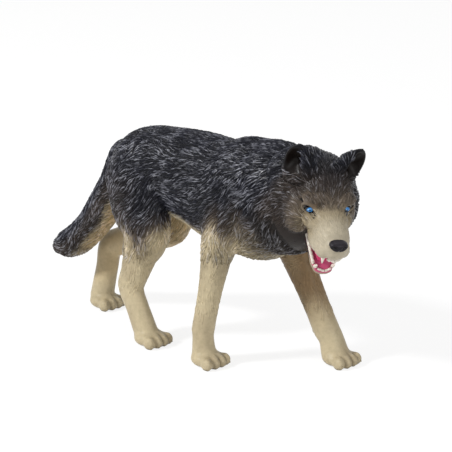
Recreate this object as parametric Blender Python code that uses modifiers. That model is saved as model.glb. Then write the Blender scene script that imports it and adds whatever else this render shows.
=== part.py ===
"""Wolf figurine, about 107 mm long: one solid moulded piece, walking, with the head turned right."""
import math

import bmesh
import bpy
import numpy as np
from mathutils import Matrix, Vector

MM = 0.001

# Trunk: +X is forward, +Y is the wolf's left, heights are above the ground
TRUNK_LENGTH = 59.0
RUMP_HEIGHT = 53.4
LOIN_HEIGHT = 54.8
WITHERS_HEIGHT = 56.2
CHEST_CLEARANCE = 26.8
BELLY_CLEARANCE = 31.0
GROIN_CLEARANCE = 34.4
RUMP_WIDTH = 18.5
LOIN_WIDTH = 18.5
CHEST_WIDTH = 22.5

# Neck with its ruff, from the shoulders to the back of the skull
NECK_LENGTH = 21.0
RUFF_WIDTH = 22.0
RUFF_DEPTH = 25.0

# Head, measured from the point midway between the eyes
HEAD_REACH = 16.5
HEAD_DROP = 10.9
HEAD_SIDE = -5.7
HEAD_TURN = -35.5
HEAD_PITCH = -23.0
HEAD_ROLL = -3.5
SKULL_LENGTH = 16.0
SKULL_WIDTH = 16.0
SKULL_HEIGHT = 15.2
CHEEK_WIDTH = 19.8
MUZZLE_LENGTH = 13.5
MUZZLE_WIDTH = 7.6
MUZZLE_HEIGHT = 7.8
MUZZLE_DROP = 2.8
JAW_LENGTH = 15.6
JAW_WIDTH = 6.2
JAW_HEIGHT = 3.6
JAW_OPENING = 35.0
EAR_HEIGHT = 9.0
EAR_WIDTH = 7.8
EAR_CUP = 1.7
EAR_SPLAY_RIGHT = 7.0
EAR_SPLAY_LEFT = 33.0
EAR_OUT_RIGHT = 5.9
EAR_OUT_LEFT = 3.6
EYE_SPACING = 9.0
EYE_SIZE = 2.5
NOSE_WIDTH = 4.4
TOOTH_LENGTH = 1.5
TOOTH_THICKNESS = 1.2

# Legs: thickness seen from the side and from the front
FORELEG_DEPTH = 6.6
FORELEG_WIDTH = 5.5
FORELEG_GIRTH_RIGHT = 0.94
FORELEG_GIRTH_LEFT = 1.08
HINDLEG_DEPTH = 6.4
HINDLEG_WIDTH = 5.0
THIGH_DEPTH = 18.5
THIGH_WIDTH = 11.0

# Forelegs: shoulder behind the fore chest, elbow ahead of the shoulder, wrist behind the paw
SHOULDER_BACK_RIGHT = 14.4
SHOULDER_BACK_LEFT = 11.6
ELBOW_AHEAD_RIGHT = -1.1
ELBOW_AHEAD_LEFT = 3.3
WRIST_BACK_RIGHT = 1.8
WRIST_BACK_LEFT = 4.1
WRIST_HEIGHT_RIGHT = 9.6
WRIST_HEIGHT_LEFT = 8.8

# Hind legs: knee ahead of the hip and out from the middle, hock behind the paw
KNEE_AHEAD_RIGHT = 6.5
KNEE_AHEAD_LEFT = -0.7
KNEE_OUT_RIGHT = 7.6
KNEE_OUT_LEFT = 6.8
KNEE_HEIGHT_RIGHT = 28.5
KNEE_HEIGHT_LEFT = 27.2
HOCK_BACK_RIGHT = 7.1
HOCK_BACK_LEFT = -0.4
HOCK_OUT_RIGHT = 8.5
HOCK_OUT_LEFT = 6.9
HOCK_HEIGHT_RIGHT = 13.8
HOCK_HEIGHT_LEFT = 16.6

# Stance: each paw's middle ahead of its shoulder or hip, and out from the middle of the trunk
STRIDE_FORE_RIGHT = -2.7
STRIDE_FORE_LEFT = 17.4
STRIDE_HIND_RIGHT = 8.8
STRIDE_HIND_LEFT = -21.4
TRACK_FORE_RIGHT = 10.3
TRACK_FORE_LEFT = 12.0
TRACK_HIND_RIGHT = 8.6
TRACK_HIND_LEFT = 5.2

# Paws
PAW_LENGTH = 9.7
PAW_WIDTH = 8.6
PAW_HEIGHT = 4.6
TOE_COUNT = 4
TOE_FAN = 9.0
CLAW_LENGTH = 1.2
CLAW_THICKNESS = 1.1

# Tail
TAIL_DROP = 34.3
TAIL_REACH = 24.0
TAIL_SWAY = -1.8
TAIL_THICKNESS = 9.0

# Fur: the coarse locks that break the outline
LOCK_LENGTH = 8.4
LOCK_WIDTH = 2.5
LOCK_RISE = 0.62
LOCK_COUNT = 17

# Surface: grid of the moulded skin and the faces that it may have
SKIN_GRID = 0.55
DETAIL_GRID = 0.42
FACE_COUNT = 11500
RING_COUNT = 24
SOLE_TRIM = 0.3
TRIM_SNAP = 0.03
FLECK_SIZE = 0.9

RIGHT = -1
LEFT = 1


def clear_scene():
    for old in list(bpy.data.objects):
        bpy.data.objects.remove(old)


def smooth_rows(rows, per_span=5):
    """Pass a Catmull-Rom curve through the rows, column by column."""
    rows = np.array(rows, float)
    padded = np.vstack([2 * rows[0] - rows[1], rows, 2 * rows[-1] - rows[-2]])
    t = np.linspace(0, 1, per_span, endpoint=False)[:, None]
    spans = []
    for a, b, c, d in zip(padded, padded[1:], padded[2:], padded[3:]):
        spans.append(b + 0.5 * t * (c - a + t * (2 * a - 5 * b + 4 * c - d + t * (3 * (b - c) + d - a))))
    return np.vstack(spans + [rows[-1:]])


class Loft:
    """Oval sections carried along a path. A row is x, y, z, half-width, half-depth.

    A power above 2 squares the oval.
    """

    def __init__(self, rows, side=(0, 1, 0), per_span=5, power=2.0):
        fine = smooth_rows(rows, per_span)
        self.power = power
        self.centre = fine[:, :3]
        self.half = np.maximum(fine[:, 3:5], 0.05)
        along = np.gradient(self.centre, axis=0)
        self.along = along / np.linalg.norm(along, axis=1)[:, None]
        across = np.array(side, float) - self.along * (self.along @ np.array(side, float))[:, None]
        self.across = across / np.linalg.norm(across, axis=1)[:, None]
        self.deep = np.cross(self.along, self.across)

    def ring(self, k, angle, grow=1.0, shift=0.0):
        cos, sin = np.cos(angle)[:, None], np.sin(angle)[:, None]
        cos = np.sign(cos) * np.abs(cos) ** (2 / self.power)
        sin = np.sign(sin) * np.abs(sin) ** (2 / self.power)
        width, depth = self.half[k] * grow
        middle = self.centre[k] + self.along[k] * shift
        return middle + self.across[k] * width * cos + self.deep[k] * depth * sin

    def length(self):
        return np.linalg.norm(np.diff(self.centre, axis=0), axis=1).sum()

    def on_skin(self, share, angle):
        """Point and outward direction at a share of the length and an angle round it."""
        place = min(max(share, 0.0), 1.0) * (len(self.centre) - 1)
        k = min(int(place), len(self.centre) - 2)
        part = place - k

        def at_part(column):
            return column[k] * (1 - part) + column[k + 1] * part

        width, depth = at_part(self.half)
        across, deep = at_part(self.across), at_part(self.deep)
        cos, sin = math.cos(angle), math.sin(angle)
        point = at_part(self.centre) + across * width * cos + deep * depth * sin
        out = across * cos / width + deep * sin / depth
        return point, out / np.linalg.norm(out)

    def mesh(self, name, ring=RING_COUNT):
        """Skin the sections and close both ends with domes."""
        angle = np.linspace(0, 2 * math.pi, ring, endpoint=False)
        last = len(self.centre) - 1
        dome = np.radians([75, 50, 25])
        rings = []
        start = self.half[0].min()
        end = self.half[last].min()
        for a in dome:
            rings.append(self.ring(0, angle, math.cos(a), -start * math.sin(a)))
        for k in range(last + 1):
            rings.append(self.ring(k, angle))
        for a in dome[::-1]:
            rings.append(self.ring(last, angle, math.cos(a), end * math.sin(a)))
        poles = [self.centre[0] - self.along[0] * start, self.centre[last] + self.along[last] * end]
        points = np.vstack(rings + [poles])
        faces = []
        for r in range(len(rings) - 1):
            for s in range(ring):
                n = (s + 1) % ring
                faces.append((r * ring + s, r * ring + n, (r + 1) * ring + n, (r + 1) * ring + s))
        south, north = len(points) - 2, len(points) - 1
        top = (len(rings) - 1) * ring
        for s in range(ring):
            n = (s + 1) % ring
            faces.append((s, south, n))
            faces.append((top + s, top + n, north))
        return make_object(name, points, faces)


def make_object(name, points, faces):
    mesh = bpy.data.meshes.new(name)
    mesh.from_pydata([Vector(p) * MM for p in points], [], faces)
    form = bmesh.new()
    form.from_mesh(mesh)
    bmesh.ops.recalc_face_normals(form, faces=form.faces)
    form.to_mesh(mesh)
    form.free()
    made = bpy.data.objects.new(name, mesh)
    bpy.context.scene.collection.objects.link(made)
    return made


def ball(name, place, size, turn=None):
    """An egg-shaped lump: middle, half-sizes along its own axes, and its rotation."""
    form = bmesh.new()
    bmesh.ops.create_uvsphere(form, u_segments=16, v_segments=10, radius=1.0)
    turn = turn or Matrix()
    stretch = Matrix.Diagonal(Vector(size) * MM).to_4x4()
    matrix = Matrix.Translation(Vector(place) * MM) @ turn.to_4x4() @ stretch
    bmesh.ops.transform(form, matrix=matrix, verts=form.verts)
    mesh = bpy.data.meshes.new(name)
    form.to_mesh(mesh)
    form.free()
    made = bpy.data.objects.new(name, mesh)
    bpy.context.scene.collection.objects.link(made)
    return made


def spike(name, base, tip, radius):
    """A round-based cone for a tooth or a claw."""
    base, tip = np.array(base, float), np.array(tip, float)
    rows = []
    for share, part in ((0.0, 1.0), (0.4, 0.95), (0.8, 0.78), (1.0, 0.58)):
        rows.append((*(base + (tip - base) * share), radius * part, radius * part))
    side = (0, 1, 0) if abs(tip[1] - base[1]) < np.linalg.norm(tip - base) * 0.8 else (1, 0, 0)
    return Loft(rows, side, per_span=2).mesh(name, ring=8)


def apply_modifiers(target):
    graph = bpy.context.evaluated_depsgraph_get()
    mesh = bpy.data.meshes.new_from_object(target.evaluated_get(graph))
    target.modifiers.clear()
    target.data = mesh


def join(name, pieces):
    """Gather closed forms in one mesh, ready for the grid that fuses them."""
    form = bmesh.new()
    for piece in pieces:
        form.from_mesh(piece.data)
    mesh = bpy.data.meshes.new(name)
    form.to_mesh(mesh)
    form.free()
    for piece in pieces:
        bpy.data.objects.remove(piece)
    made = bpy.data.objects.new(name, mesh)
    bpy.context.scene.collection.objects.link(made)
    return made


def fuse(target, grid, rounds):
    """Melt overlapping forms into one skin and ease the joins."""
    melt = target.modifiers.new("melt", "REMESH")
    melt.mode = "VOXEL"
    melt.voxel_size = grid * MM
    if rounds:
        ease = target.modifiers.new("ease", "SMOOTH")
        ease.factor = 0.5
        ease.iterations = rounds
    apply_modifiers(target)


def drop_flecks(target):
    """Remove the flecks that the grid leaves off the tip of a tooth or claw."""
    form = bmesh.new()
    form.from_mesh(target.data)
    form.verts.ensure_lookup_table()
    seen = set()
    for first in form.verts[:]:
        if not first.is_valid or first in seen:
            continue
        seen.add(first)
        island = [first]
        for corner in island:
            for edge in corner.link_edges:
                other = edge.other_vert(corner)
                if other not in seen:
                    seen.add(other)
                    island.append(other)
        places = np.array([corner.co for corner in island])
        if (places.max(axis=0) - places.min(axis=0)).max() < FLECK_SIZE * MM:
            bmesh.ops.delete(form, geom=island, context="VERTS")
    form.to_mesh(target.data)
    form.free()


def trunk_loft():
    """Rows from rump to fore chest: share of length, top, underside, width."""
    start = -0.49 * TRUNK_LENGTH
    sections = [
        (0.07, 0.87 * RUMP_HEIGHT, 1.12 * GROIN_CLEARANCE, 0.60 * RUMP_WIDTH),
        (0.14, 0.955 * RUMP_HEIGHT, 1.04 * GROIN_CLEARANCE, 0.88 * RUMP_WIDTH),
        (0.23, 1.0 * RUMP_HEIGHT, GROIN_CLEARANCE, RUMP_WIDTH),
        (0.38, 1.018 * RUMP_HEIGHT, 0.5 * (GROIN_CLEARANCE + BELLY_CLEARANCE), LOIN_WIDTH),
        (0.53, LOIN_HEIGHT, BELLY_CLEARANCE, 1.05 * LOIN_WIDTH),
        (0.67, 0.97 * WITHERS_HEIGHT, 0.49 * (BELLY_CLEARANCE + CHEST_CLEARANCE), 0.96 * CHEST_WIDTH),
        (0.80, WITHERS_HEIGHT, CHEST_CLEARANCE, CHEST_WIDTH),
        (0.92, 0.985 * WITHERS_HEIGHT, 1.06 * CHEST_CLEARANCE, 0.93 * CHEST_WIDTH),
        (1.00, 0.93 * WITHERS_HEIGHT, 1.22 * CHEST_CLEARANCE, 0.72 * CHEST_WIDTH),
    ]
    rows = []
    for share, top, low, width in sections:
        rows.append((start + share * TRUNK_LENGTH, 0, (top + low) / 2, width / 2, (top - low) / 2))
    return Loft(rows)


def chest_front():
    """Middle of the fore chest, where the neck starts."""
    return 0.51 * TRUNK_LENGTH, 0.5 * (WITHERS_HEIGHT + CHEST_CLEARANCE)


def head_place():
    """The frame of the head: +x out through the nose, +z out through the crown."""
    front, _ = chest_front()
    middle = Vector((front + HEAD_REACH, HEAD_SIDE, WITHERS_HEIGHT - HEAD_DROP))
    turn = Matrix.Rotation(math.radians(HEAD_TURN), 4, "Z")
    pitch = Matrix.Rotation(math.radians(-HEAD_PITCH), 4, "Y")
    roll = Matrix.Rotation(math.radians(HEAD_ROLL), 4, "X")
    return Matrix.Translation(middle) @ turn @ pitch @ roll


def neck_loft():
    """A deep collar of fur that leans forward and turns right with the head."""
    front, middle = chest_front()
    skull = head_place() @ Vector((-0.70 * SKULL_LENGTH, 0, -0.2 * SKULL_HEIGHT))
    start = Vector((front - 0.75 * NECK_LENGTH, 0, middle + 0.04 * RUFF_DEPTH))
    rows = []
    bend = Vector((front + 0.15 * NECK_LENGTH, 0, middle + 0.08 * RUFF_DEPTH))
    for share, width, depth, sink in ((0.0, 0.78, 0.92, 0.0), (0.3, 1.04, 1.08, 0.016),
                                      (0.6, 1.07, 1.00, 0.048), (0.85, 1.04, 0.90, 0.036),
                                      (1.0, 0.92, 0.74, 0.016)):
        place = start * (1 - share) ** 2 + bend * 2 * share * (1 - share) + skull * share ** 2
        place.z -= sink * RUFF_DEPTH
        rows.append((*place, width * RUFF_WIDTH / 2, depth * RUFF_DEPTH / 2))
    return Loft(rows)


def tail_loft():
    """Hanging back from the croup, thick and blunt."""
    root_x, root_y, root_z = -0.42 * TRUNK_LENGTH, 0.03 * RUMP_WIDTH, 0.80 * RUMP_HEIGHT
    rows = []
    for reach, drop, thick in ((0.0, -0.04, 1.06), (0.05, 0.04, 1.05), (0.147, 0.20, 1.02), (0.26, 0.34, 1.0),
                               (0.373, 0.464, 0.96), (0.534, 0.63, 0.88), (0.747, 0.785, 0.86),
                               (0.90, 0.844, 0.74), (0.97, 0.865, 0.52)):
        place = root_x - reach * TAIL_REACH, root_y + reach * TAIL_SWAY, root_z - 0.88 * drop * TAIL_DROP
        rows.append((*place, thick * TAIL_THICKNESS / 2, thick * TAIL_THICKNESS / 2))
    return Loft(rows)


def between(a, b, share):
    """Point at a share of the way from a to b."""
    return a + (b - a) * share


def foreleg(name, side, shoulder_x, elbow_ahead, wrist_back, wrist_height, girth, paw):
    """Shoulder, elbow, wrist and pastern down to the paw."""
    hip_y = side * 0.30 * CHEST_WIDTH
    wide, deep = girth * FORELEG_WIDTH / 2, girth * FORELEG_DEPTH / 2
    wrist = np.array((paw[0] - wrist_back, 0.97 * paw[1], wrist_height))
    elbow = np.array((shoulder_x + elbow_ahead, 0.45 * hip_y + 0.55 * wrist[1], 1.12 * CHEST_CLEARANCE))
    pastern = np.array((between(wrist[0], paw[0], 0.5) - 0.08 * PAW_LENGTH, paw[1],
                        0.5 * (wrist_height + PAW_HEIGHT)))
    rows = [
        (shoulder_x, hip_y, 0.80 * WITHERS_HEIGHT, 1.2 * wide, 2.0 * deep),
        (shoulder_x + 0.1 * deep, 1.12 * hip_y, 0.66 * WITHERS_HEIGHT, 1.5 * wide, 2.1 * deep),
        (*elbow, 1.25 * wide, 1.45 * deep),
        (*between(elbow, wrist, 0.30), 1.10 * wide, 1.15 * deep),
        (*between(elbow, wrist, 0.65), 0.98 * wide, 0.95 * deep),
        (*wrist, 1.04 * wide, 0.95 * deep),
        (*pastern, 0.98 * wide, 0.88 * deep),
        (paw[0] - 0.14 * PAW_LENGTH, paw[1], 0.62 * PAW_HEIGHT, 1.12 * wide, 1.0 * deep),
    ]
    pad_place = wrist - np.array((0.8 * deep, 0, 0.125 * wrist_height))
    pad = ball(name + "_wrist_pad", pad_place, (0.33 * deep, 0.36 * wide, 0.40 * deep))
    leg = Loft(rows)
    return leg, [leg.mesh(name), pad]


def hindleg(name, side, hip_x, knee, hock, paw):
    """Thigh, knee, hock and long foot down to the paw."""
    hip = np.array((hip_x, side * 0.26 * RUMP_WIDTH, 0.78 * RUMP_HEIGHT))
    wide, deep = HINDLEG_WIDTH / 2, HINDLEG_DEPTH / 2
    thigh_wide, thigh_deep = THIGH_WIDTH / 2, THIGH_DEPTH / 2
    knee, hock = np.array(knee, float), np.array(hock, float)
    heel = np.array((paw[0] - 0.16 * PAW_LENGTH, paw[1], 0.62 * PAW_HEIGHT))
    rows = [
        (*hip, 0.9 * thigh_wide, thigh_deep),
        (*between(hip, knee, 0.5), 1.0 * thigh_wide, 0.94 * thigh_deep),
        (*knee, 0.84 * thigh_wide, 0.72 * thigh_deep),
        (*between(knee, hock, 0.38), 1.46 * wide, 1.52 * deep),
        (*between(knee, hock, 0.75), 1.14 * wide, 1.2 * deep),
        (*hock, 1.04 * wide, 1.12 * deep),
        (*between(hock, heel, 0.4), 1.0 * wide, 1.02 * deep),
        (*between(hock, heel, 0.75), 1.05 * wide, 1.04 * deep),
        (*heel, 1.1 * wide, 1.05 * deep),
    ]
    thigh = Loft(rows)
    return thigh, [thigh.mesh(name)]


def paw_forms(name, paw):
    """A broad pad, a row of toes and their claws."""
    x, y = paw
    forms = [ball(name + "_pad", (x - 0.12 * PAW_LENGTH, y, 0.42 * PAW_HEIGHT),
                  (0.36 * PAW_LENGTH, 0.42 * PAW_WIDTH, 0.46 * PAW_HEIGHT))]
    toe_half = 0.54 * PAW_WIDTH / TOE_COUNT
    for toe in range(TOE_COUNT):
        spread = 2 * toe / (TOE_COUNT - 1) - 1
        inner = 1 - 0.14 * spread ** 2
        turn = Matrix.Rotation(math.radians(TOE_FAN * spread), 3, "Z")
        middle = Vector((0.24 * PAW_LENGTH * inner, spread * 0.37 * PAW_WIDTH, 0.40 * PAW_HEIGHT))
        place = Vector((x, y, 0)) + middle
        size = (0.27 * PAW_LENGTH * inner, toe_half, 0.42 * PAW_HEIGHT)
        forms.append(ball("%s_toe_%d" % (name, toe + 1), place, size, turn))
        tip = place + turn @ Vector((0.27 * PAW_LENGTH * inner, 0, -0.18 * PAW_HEIGHT))
        root = tip - turn @ Vector((0.5 * CLAW_LENGTH, 0, -0.3 * CLAW_LENGTH))
        end = tip + turn @ Vector((0.20 * CLAW_LENGTH, 0, -0.30 * CLAW_LENGTH))
        forms.append(spike("%s_claw_%d" % (name, toe + 1), root, end, CLAW_THICKNESS / 2))
    return forms


def skull_loft(head):
    """The cranium, from the nape to the brow: share of its length, height, half-width, half-height."""
    wide, high = SKULL_WIDTH / 2, SKULL_HEIGHT / 2
    rows = []
    for back, lift, width, depth in ((-1.0, -0.25, 0.92, 0.82), (-0.78, -0.10, 1.0, 0.95),
                                     (-0.5, 0.0, 0.96, 1.0), (-0.26, 0.0, 0.88, 0.90),
                                     (-0.09, -0.03, 0.75, 0.68), (0.06, -0.07, 0.62, 0.53)):
        place = head @ Vector((back * SKULL_LENGTH, 0, lift * SKULL_HEIGHT))
        rows.append((*place, width * wide, depth * high))
    return Loft(rows, head.to_3x3() @ Vector((0, 1, 0)))


def muzzle_loft(head):
    """A squared tube that narrows to the nose: share of its length, drop, half-width, half-height."""
    rows = []
    for share, drop, width, depth in ((-0.15, 0.61, 1.38, 1.15), (0.12, 0.71, 1.26, 1.15),
                                      (0.34, 0.89, 1.08, 1.08), (0.56, 1.0, 1.0, 1.0),
                                      (0.70, 1.04, 0.94, 0.90), (0.79, 1.07, 0.77, 0.72)):
        place = head @ Vector((share * MUZZLE_LENGTH, 0, -drop * MUZZLE_DROP))
        rows.append((*place, width * MUZZLE_WIDTH / 2, depth * MUZZLE_HEIGHT / 2))
    return Loft(rows, head.to_3x3() @ Vector((0, 1, 0)), power=2.5)


def jaw_place(head):
    """The frame of the lower jaw: its hinge, with +x along the open jaw."""
    hinge = Matrix.Translation((-0.39 * SKULL_LENGTH, 0, -0.32 * SKULL_HEIGHT))
    return head @ hinge @ Matrix.Rotation(math.radians(JAW_OPENING), 4, "Y")


def jaw_loft(jaw):
    """The lower jaw from its hinge to the chin; its upper face is the floor of the mouth."""
    rows = []
    for share, drop, width, depth in ((0.0, 1.44, 1.55, 1.6), (0.29, 1.28, 1.25, 1.33), (0.58, 1.0, 1.0, 1.0),
                                      (0.81, 0.83, 0.92, 0.83), (0.92, 0.72, 0.75, 0.67)):
        place = jaw @ Vector((share * JAW_LENGTH, 0, -drop * JAW_HEIGHT / 2))
        rows.append((*place, width * JAW_WIDTH / 2, depth * JAW_HEIGHT / 2))
    return Loft(rows, jaw.to_3x3() @ Vector((0, 1, 0)), power=2.4)


def ruff_masses(head):
    """The collar's bulges behind the cheeks and over the nape."""
    turn = head.to_3x3()
    masses = []
    for x, y, z, half_x, half_y, half_z in ((-0.56, -0.34, -0.28, 0.37, 0.27, 0.57),
                                            (-0.49, 0.25, -0.28, 0.26, 0.23, 0.54),
                                            (-0.78, -0.18, 0.07, 0.34, 0.41, 0.43)):
        place = head @ Vector((x * SKULL_LENGTH, y * CHEEK_WIDTH, z * SKULL_HEIGHT))
        size = (half_x * SKULL_LENGTH, half_y * CHEEK_WIDTH, half_z * SKULL_HEIGHT)
        masses.append(ball("ruff_mass", place, size, turn))
    return masses


def face_forms(head):
    """Brows, cheeks, cheekbones and whisker pads of both sides, and the nose."""
    turn = head.to_3x3()
    forms = ruff_masses(head)
    for hand in (RIGHT, LEFT):
        brow = (0.04 * SKULL_LENGTH, hand * 0.48 * EYE_SPACING, 0.165 * SKULL_HEIGHT)
        brow_turn = turn @ Matrix.Rotation(math.radians(hand * 25), 3, "Z")
        forms.append(ball("brow", head @ Vector(brow),
                          (0.92 * EYE_SIZE, 0.88 * EYE_SIZE, 0.46 * EYE_SIZE), brow_turn))
        cheek = (-0.34 * SKULL_LENGTH, hand * 0.30 * CHEEK_WIDTH, -0.22 * SKULL_HEIGHT)
        forms.append(ball("cheek", head @ Vector(cheek),
                          (0.40 * SKULL_LENGTH, 0.20 * CHEEK_WIDTH, 0.42 * SKULL_HEIGHT), turn))
        bone = (0.12 * MUZZLE_LENGTH, hand * 0.47 * EYE_SPACING, -0.68 * MUZZLE_DROP)
        forms.append(ball("cheekbone", head @ Vector(bone),
                          (0.24 * MUZZLE_LENGTH, 0.19 * MUZZLE_WIDTH, 0.19 * MUZZLE_HEIGHT), turn))
        pad = (0.68 * MUZZLE_LENGTH, hand * 0.28 * MUZZLE_WIDTH, -1.57 * MUZZLE_DROP)
        forms.append(ball("whisker_pad", head @ Vector(pad),
                          (0.19 * MUZZLE_LENGTH, 0.24 * MUZZLE_WIDTH, 0.24 * MUZZLE_HEIGHT), turn))
    nose = head @ Vector((0.90 * MUZZLE_LENGTH, 0, -0.32 * MUZZLE_DROP))
    forms.append(ball("nose", nose, (0.35 * NOSE_WIDTH, NOSE_WIDTH / 2, 0.34 * NOSE_WIDTH), turn))
    return forms


def mouth_forms(head, jaw):
    """Tongue on the lower jaw, and the canines of both jaws."""
    side = head.to_3x3() @ Vector((0, 1, 0))
    wide, high = JAW_WIDTH / 2, JAW_HEIGHT / 2
    rows = []
    for share, width, depth in ((0.28, 0.72, 0.40), (0.52, 0.64, 0.42), (0.78, 0.46, 0.34)):
        place = jaw @ Vector((share * JAW_LENGTH, 0, 0.28 * high))
        rows.append((*place, width * wide, depth * high))
    forms = [Loft(rows, side).mesh("tongue")]
    for hand in (RIGHT, LEFT):
        root = Vector((0.77 * MUZZLE_LENGTH, hand * 0.28 * MUZZLE_WIDTH, -MUZZLE_DROP - 0.40 * MUZZLE_HEIGHT))
        tip = root - Vector((0.1 * TOOTH_LENGTH, 0, TOOTH_LENGTH))
        forms.append(spike("upper_canine", head @ root, head @ tip, TOOTH_THICKNESS / 2))
        root = Vector((0.90 * JAW_LENGTH, hand * 0.60 * wide, -0.3 * high))
        tip = root + Vector((0.1 * TOOTH_LENGTH, 0, 1.25 * TOOTH_LENGTH))
        forms.append(spike("lower_canine", jaw @ root, jaw @ tip, TOOTH_THICKNESS / 2))
    return forms


def eye_forms(head):
    """Almond eyeballs that look out past the muzzle."""
    forms = []
    for hand in (RIGHT, LEFT):
        place = head @ Vector((0.11 * SKULL_LENGTH, hand * EYE_SPACING / 2, 0.05 * SKULL_HEIGHT))
        turn = head.to_3x3() @ Matrix.Rotation(math.radians(hand * 28), 3, "Z")
        forms.append(ball("eye", place, (0.40 * EYE_SIZE, 0.5 * EYE_SIZE, 0.36 * EYE_SIZE), turn))
    return forms


def ear_form(name, head, hand, out, splay):
    """A cupped ear: a tapered loft, rounded at its tip, with a smaller one cut out of its face."""
    wide = EAR_WIDTH / 2
    root = Vector((-0.42 * SKULL_LENGTH, hand * out, 0.26 * SKULL_HEIGHT))
    lean = Vector((-0.05, hand * math.tan(math.radians(splay)), 1.0)).normalized()
    face = Vector((0.86, hand * 0.36, 0.0))
    side = head.to_3x3() @ face.cross(lean).normalized()

    def rows(grow, forward, sections):
        made = []
        for share, width, depth in sections:
            place = head @ (root + lean * share * EAR_HEIGHT + face * forward)
            made.append((*place, grow * width * wide, grow * depth * wide))
        return made

    shell = ((0.0, 0.90, 0.66), (0.3, 1.0, 0.60), (0.5, 0.96, 0.48), (0.7, 0.78, 0.34), (0.84, 0.52, 0.23),
             (0.93, 0.28, 0.15))
    opening = ((0.36, 0.70, 0.44), (0.5, 0.92, 0.46), (0.65, 0.76, 0.34), (0.78, 0.46, 0.20))
    ear = Loft(rows(1.0, 0.0, shell), side, per_span=3).mesh(name, ring=16)
    hollow = Loft(rows(0.74, EAR_CUP, opening), side, per_span=3).mesh(name + "_hollow", ring=16)
    cut = ear.modifiers.new("hollow", "BOOLEAN")
    cut.operation = "DIFFERENCE"
    cut.object = hollow
    apply_modifiers(ear)
    bpy.data.objects.remove(hollow)
    return ear


def fur_lock(name, carrier, share, angle, sweep, scale, flow):
    """One lock: rooted in the skin, it follows the carrier's surface towards the tail."""
    length, wide = LOCK_LENGTH * scale, LOCK_WIDTH * scale / 2
    rows = []
    for step, part, lift in ((0.0, 0.5, -0.9), (0.3, 1.0, -0.1), (0.6, 0.85, 0.15), (0.85, 0.45, 0.2),
                             (1.0, 0.15, 0.1)):
        back = step * length / carrier.length()
        turn = step * sweep * length / carrier.half.max()
        point, out = carrier.on_skin(share + flow * back, angle + turn)
        rows.append((*(point + out * LOCK_RISE * lift), wide * part, LOCK_RISE * (0.35 + 0.65 * part)))
    run = np.array(rows[-1][:3]) - np.array(rows[0][:3])
    return Loft(rows, np.cross(out, run), per_span=2).mesh(name, ring=8)


def fur_rows(name, carrier, shares, angles, scale, sweep=0.35, flow=-1):
    """Staggered rows of locks; angles run round the carrier, flow +1 sweeps them down its path."""
    forms = []
    for row, share in enumerate(shares):
        for spot, angle in enumerate(angles):
            shifted = angle + (angles[1] - angles[0]) * 0.5 * (row % 2)
            ripple = 0.22 * math.sin(3.1 * row + 1.7 * spot)
            falling = sweep * math.cos(shifted)
            forms.append(fur_lock("%s_%d_%d" % (name, row, spot), carrier, share, shifted, falling + ripple,
                                  scale * (1 + 0.18 * math.sin(2.3 * row + spot)), flow))
    return forms


def stand():
    """Middle of each paw, and the shoulder or hip that it walks from."""
    front, _ = chest_front()
    hip = -0.29 * TRUNK_LENGTH
    right, left = front - SHOULDER_BACK_RIGHT, front - SHOULDER_BACK_LEFT
    return {
        "fore_right": (right, (right + STRIDE_FORE_RIGHT, -TRACK_FORE_RIGHT)),
        "fore_left": (left, (left + STRIDE_FORE_LEFT, TRACK_FORE_LEFT)),
        "hind_right": (hip, (hip + STRIDE_HIND_RIGHT, -TRACK_HIND_RIGHT)),
        "hind_left": (hip, (hip + STRIDE_HIND_LEFT, TRACK_HIND_LEFT)),
    }


def leg_forms(stance):
    """The four legs, in the order of the stance."""
    legs = []
    shoulder, paw = stance["fore_right"]
    legs.append(foreleg("fore_right", RIGHT, shoulder, ELBOW_AHEAD_RIGHT, WRIST_BACK_RIGHT,
                        WRIST_HEIGHT_RIGHT, FORELEG_GIRTH_RIGHT, paw))
    shoulder, paw = stance["fore_left"]
    legs.append(foreleg("fore_left", LEFT, shoulder, ELBOW_AHEAD_LEFT, WRIST_BACK_LEFT, WRIST_HEIGHT_LEFT,
                        FORELEG_GIRTH_LEFT, paw))
    hip, paw = stance["hind_right"]
    knee = (hip + KNEE_AHEAD_RIGHT, -KNEE_OUT_RIGHT, KNEE_HEIGHT_RIGHT)
    hock = (paw[0] - HOCK_BACK_RIGHT, -HOCK_OUT_RIGHT, HOCK_HEIGHT_RIGHT)
    legs.append(hindleg("hind_right", RIGHT, hip, knee, hock, paw))
    hip, paw = stance["hind_left"]
    knee = (hip + KNEE_AHEAD_LEFT, KNEE_OUT_LEFT, KNEE_HEIGHT_LEFT)
    hock = (paw[0] - HOCK_BACK_LEFT, HOCK_OUT_LEFT, HOCK_HEIGHT_LEFT)
    legs.append(hindleg("hind_left", LEFT, hip, knee, hock, paw))
    return legs


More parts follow.
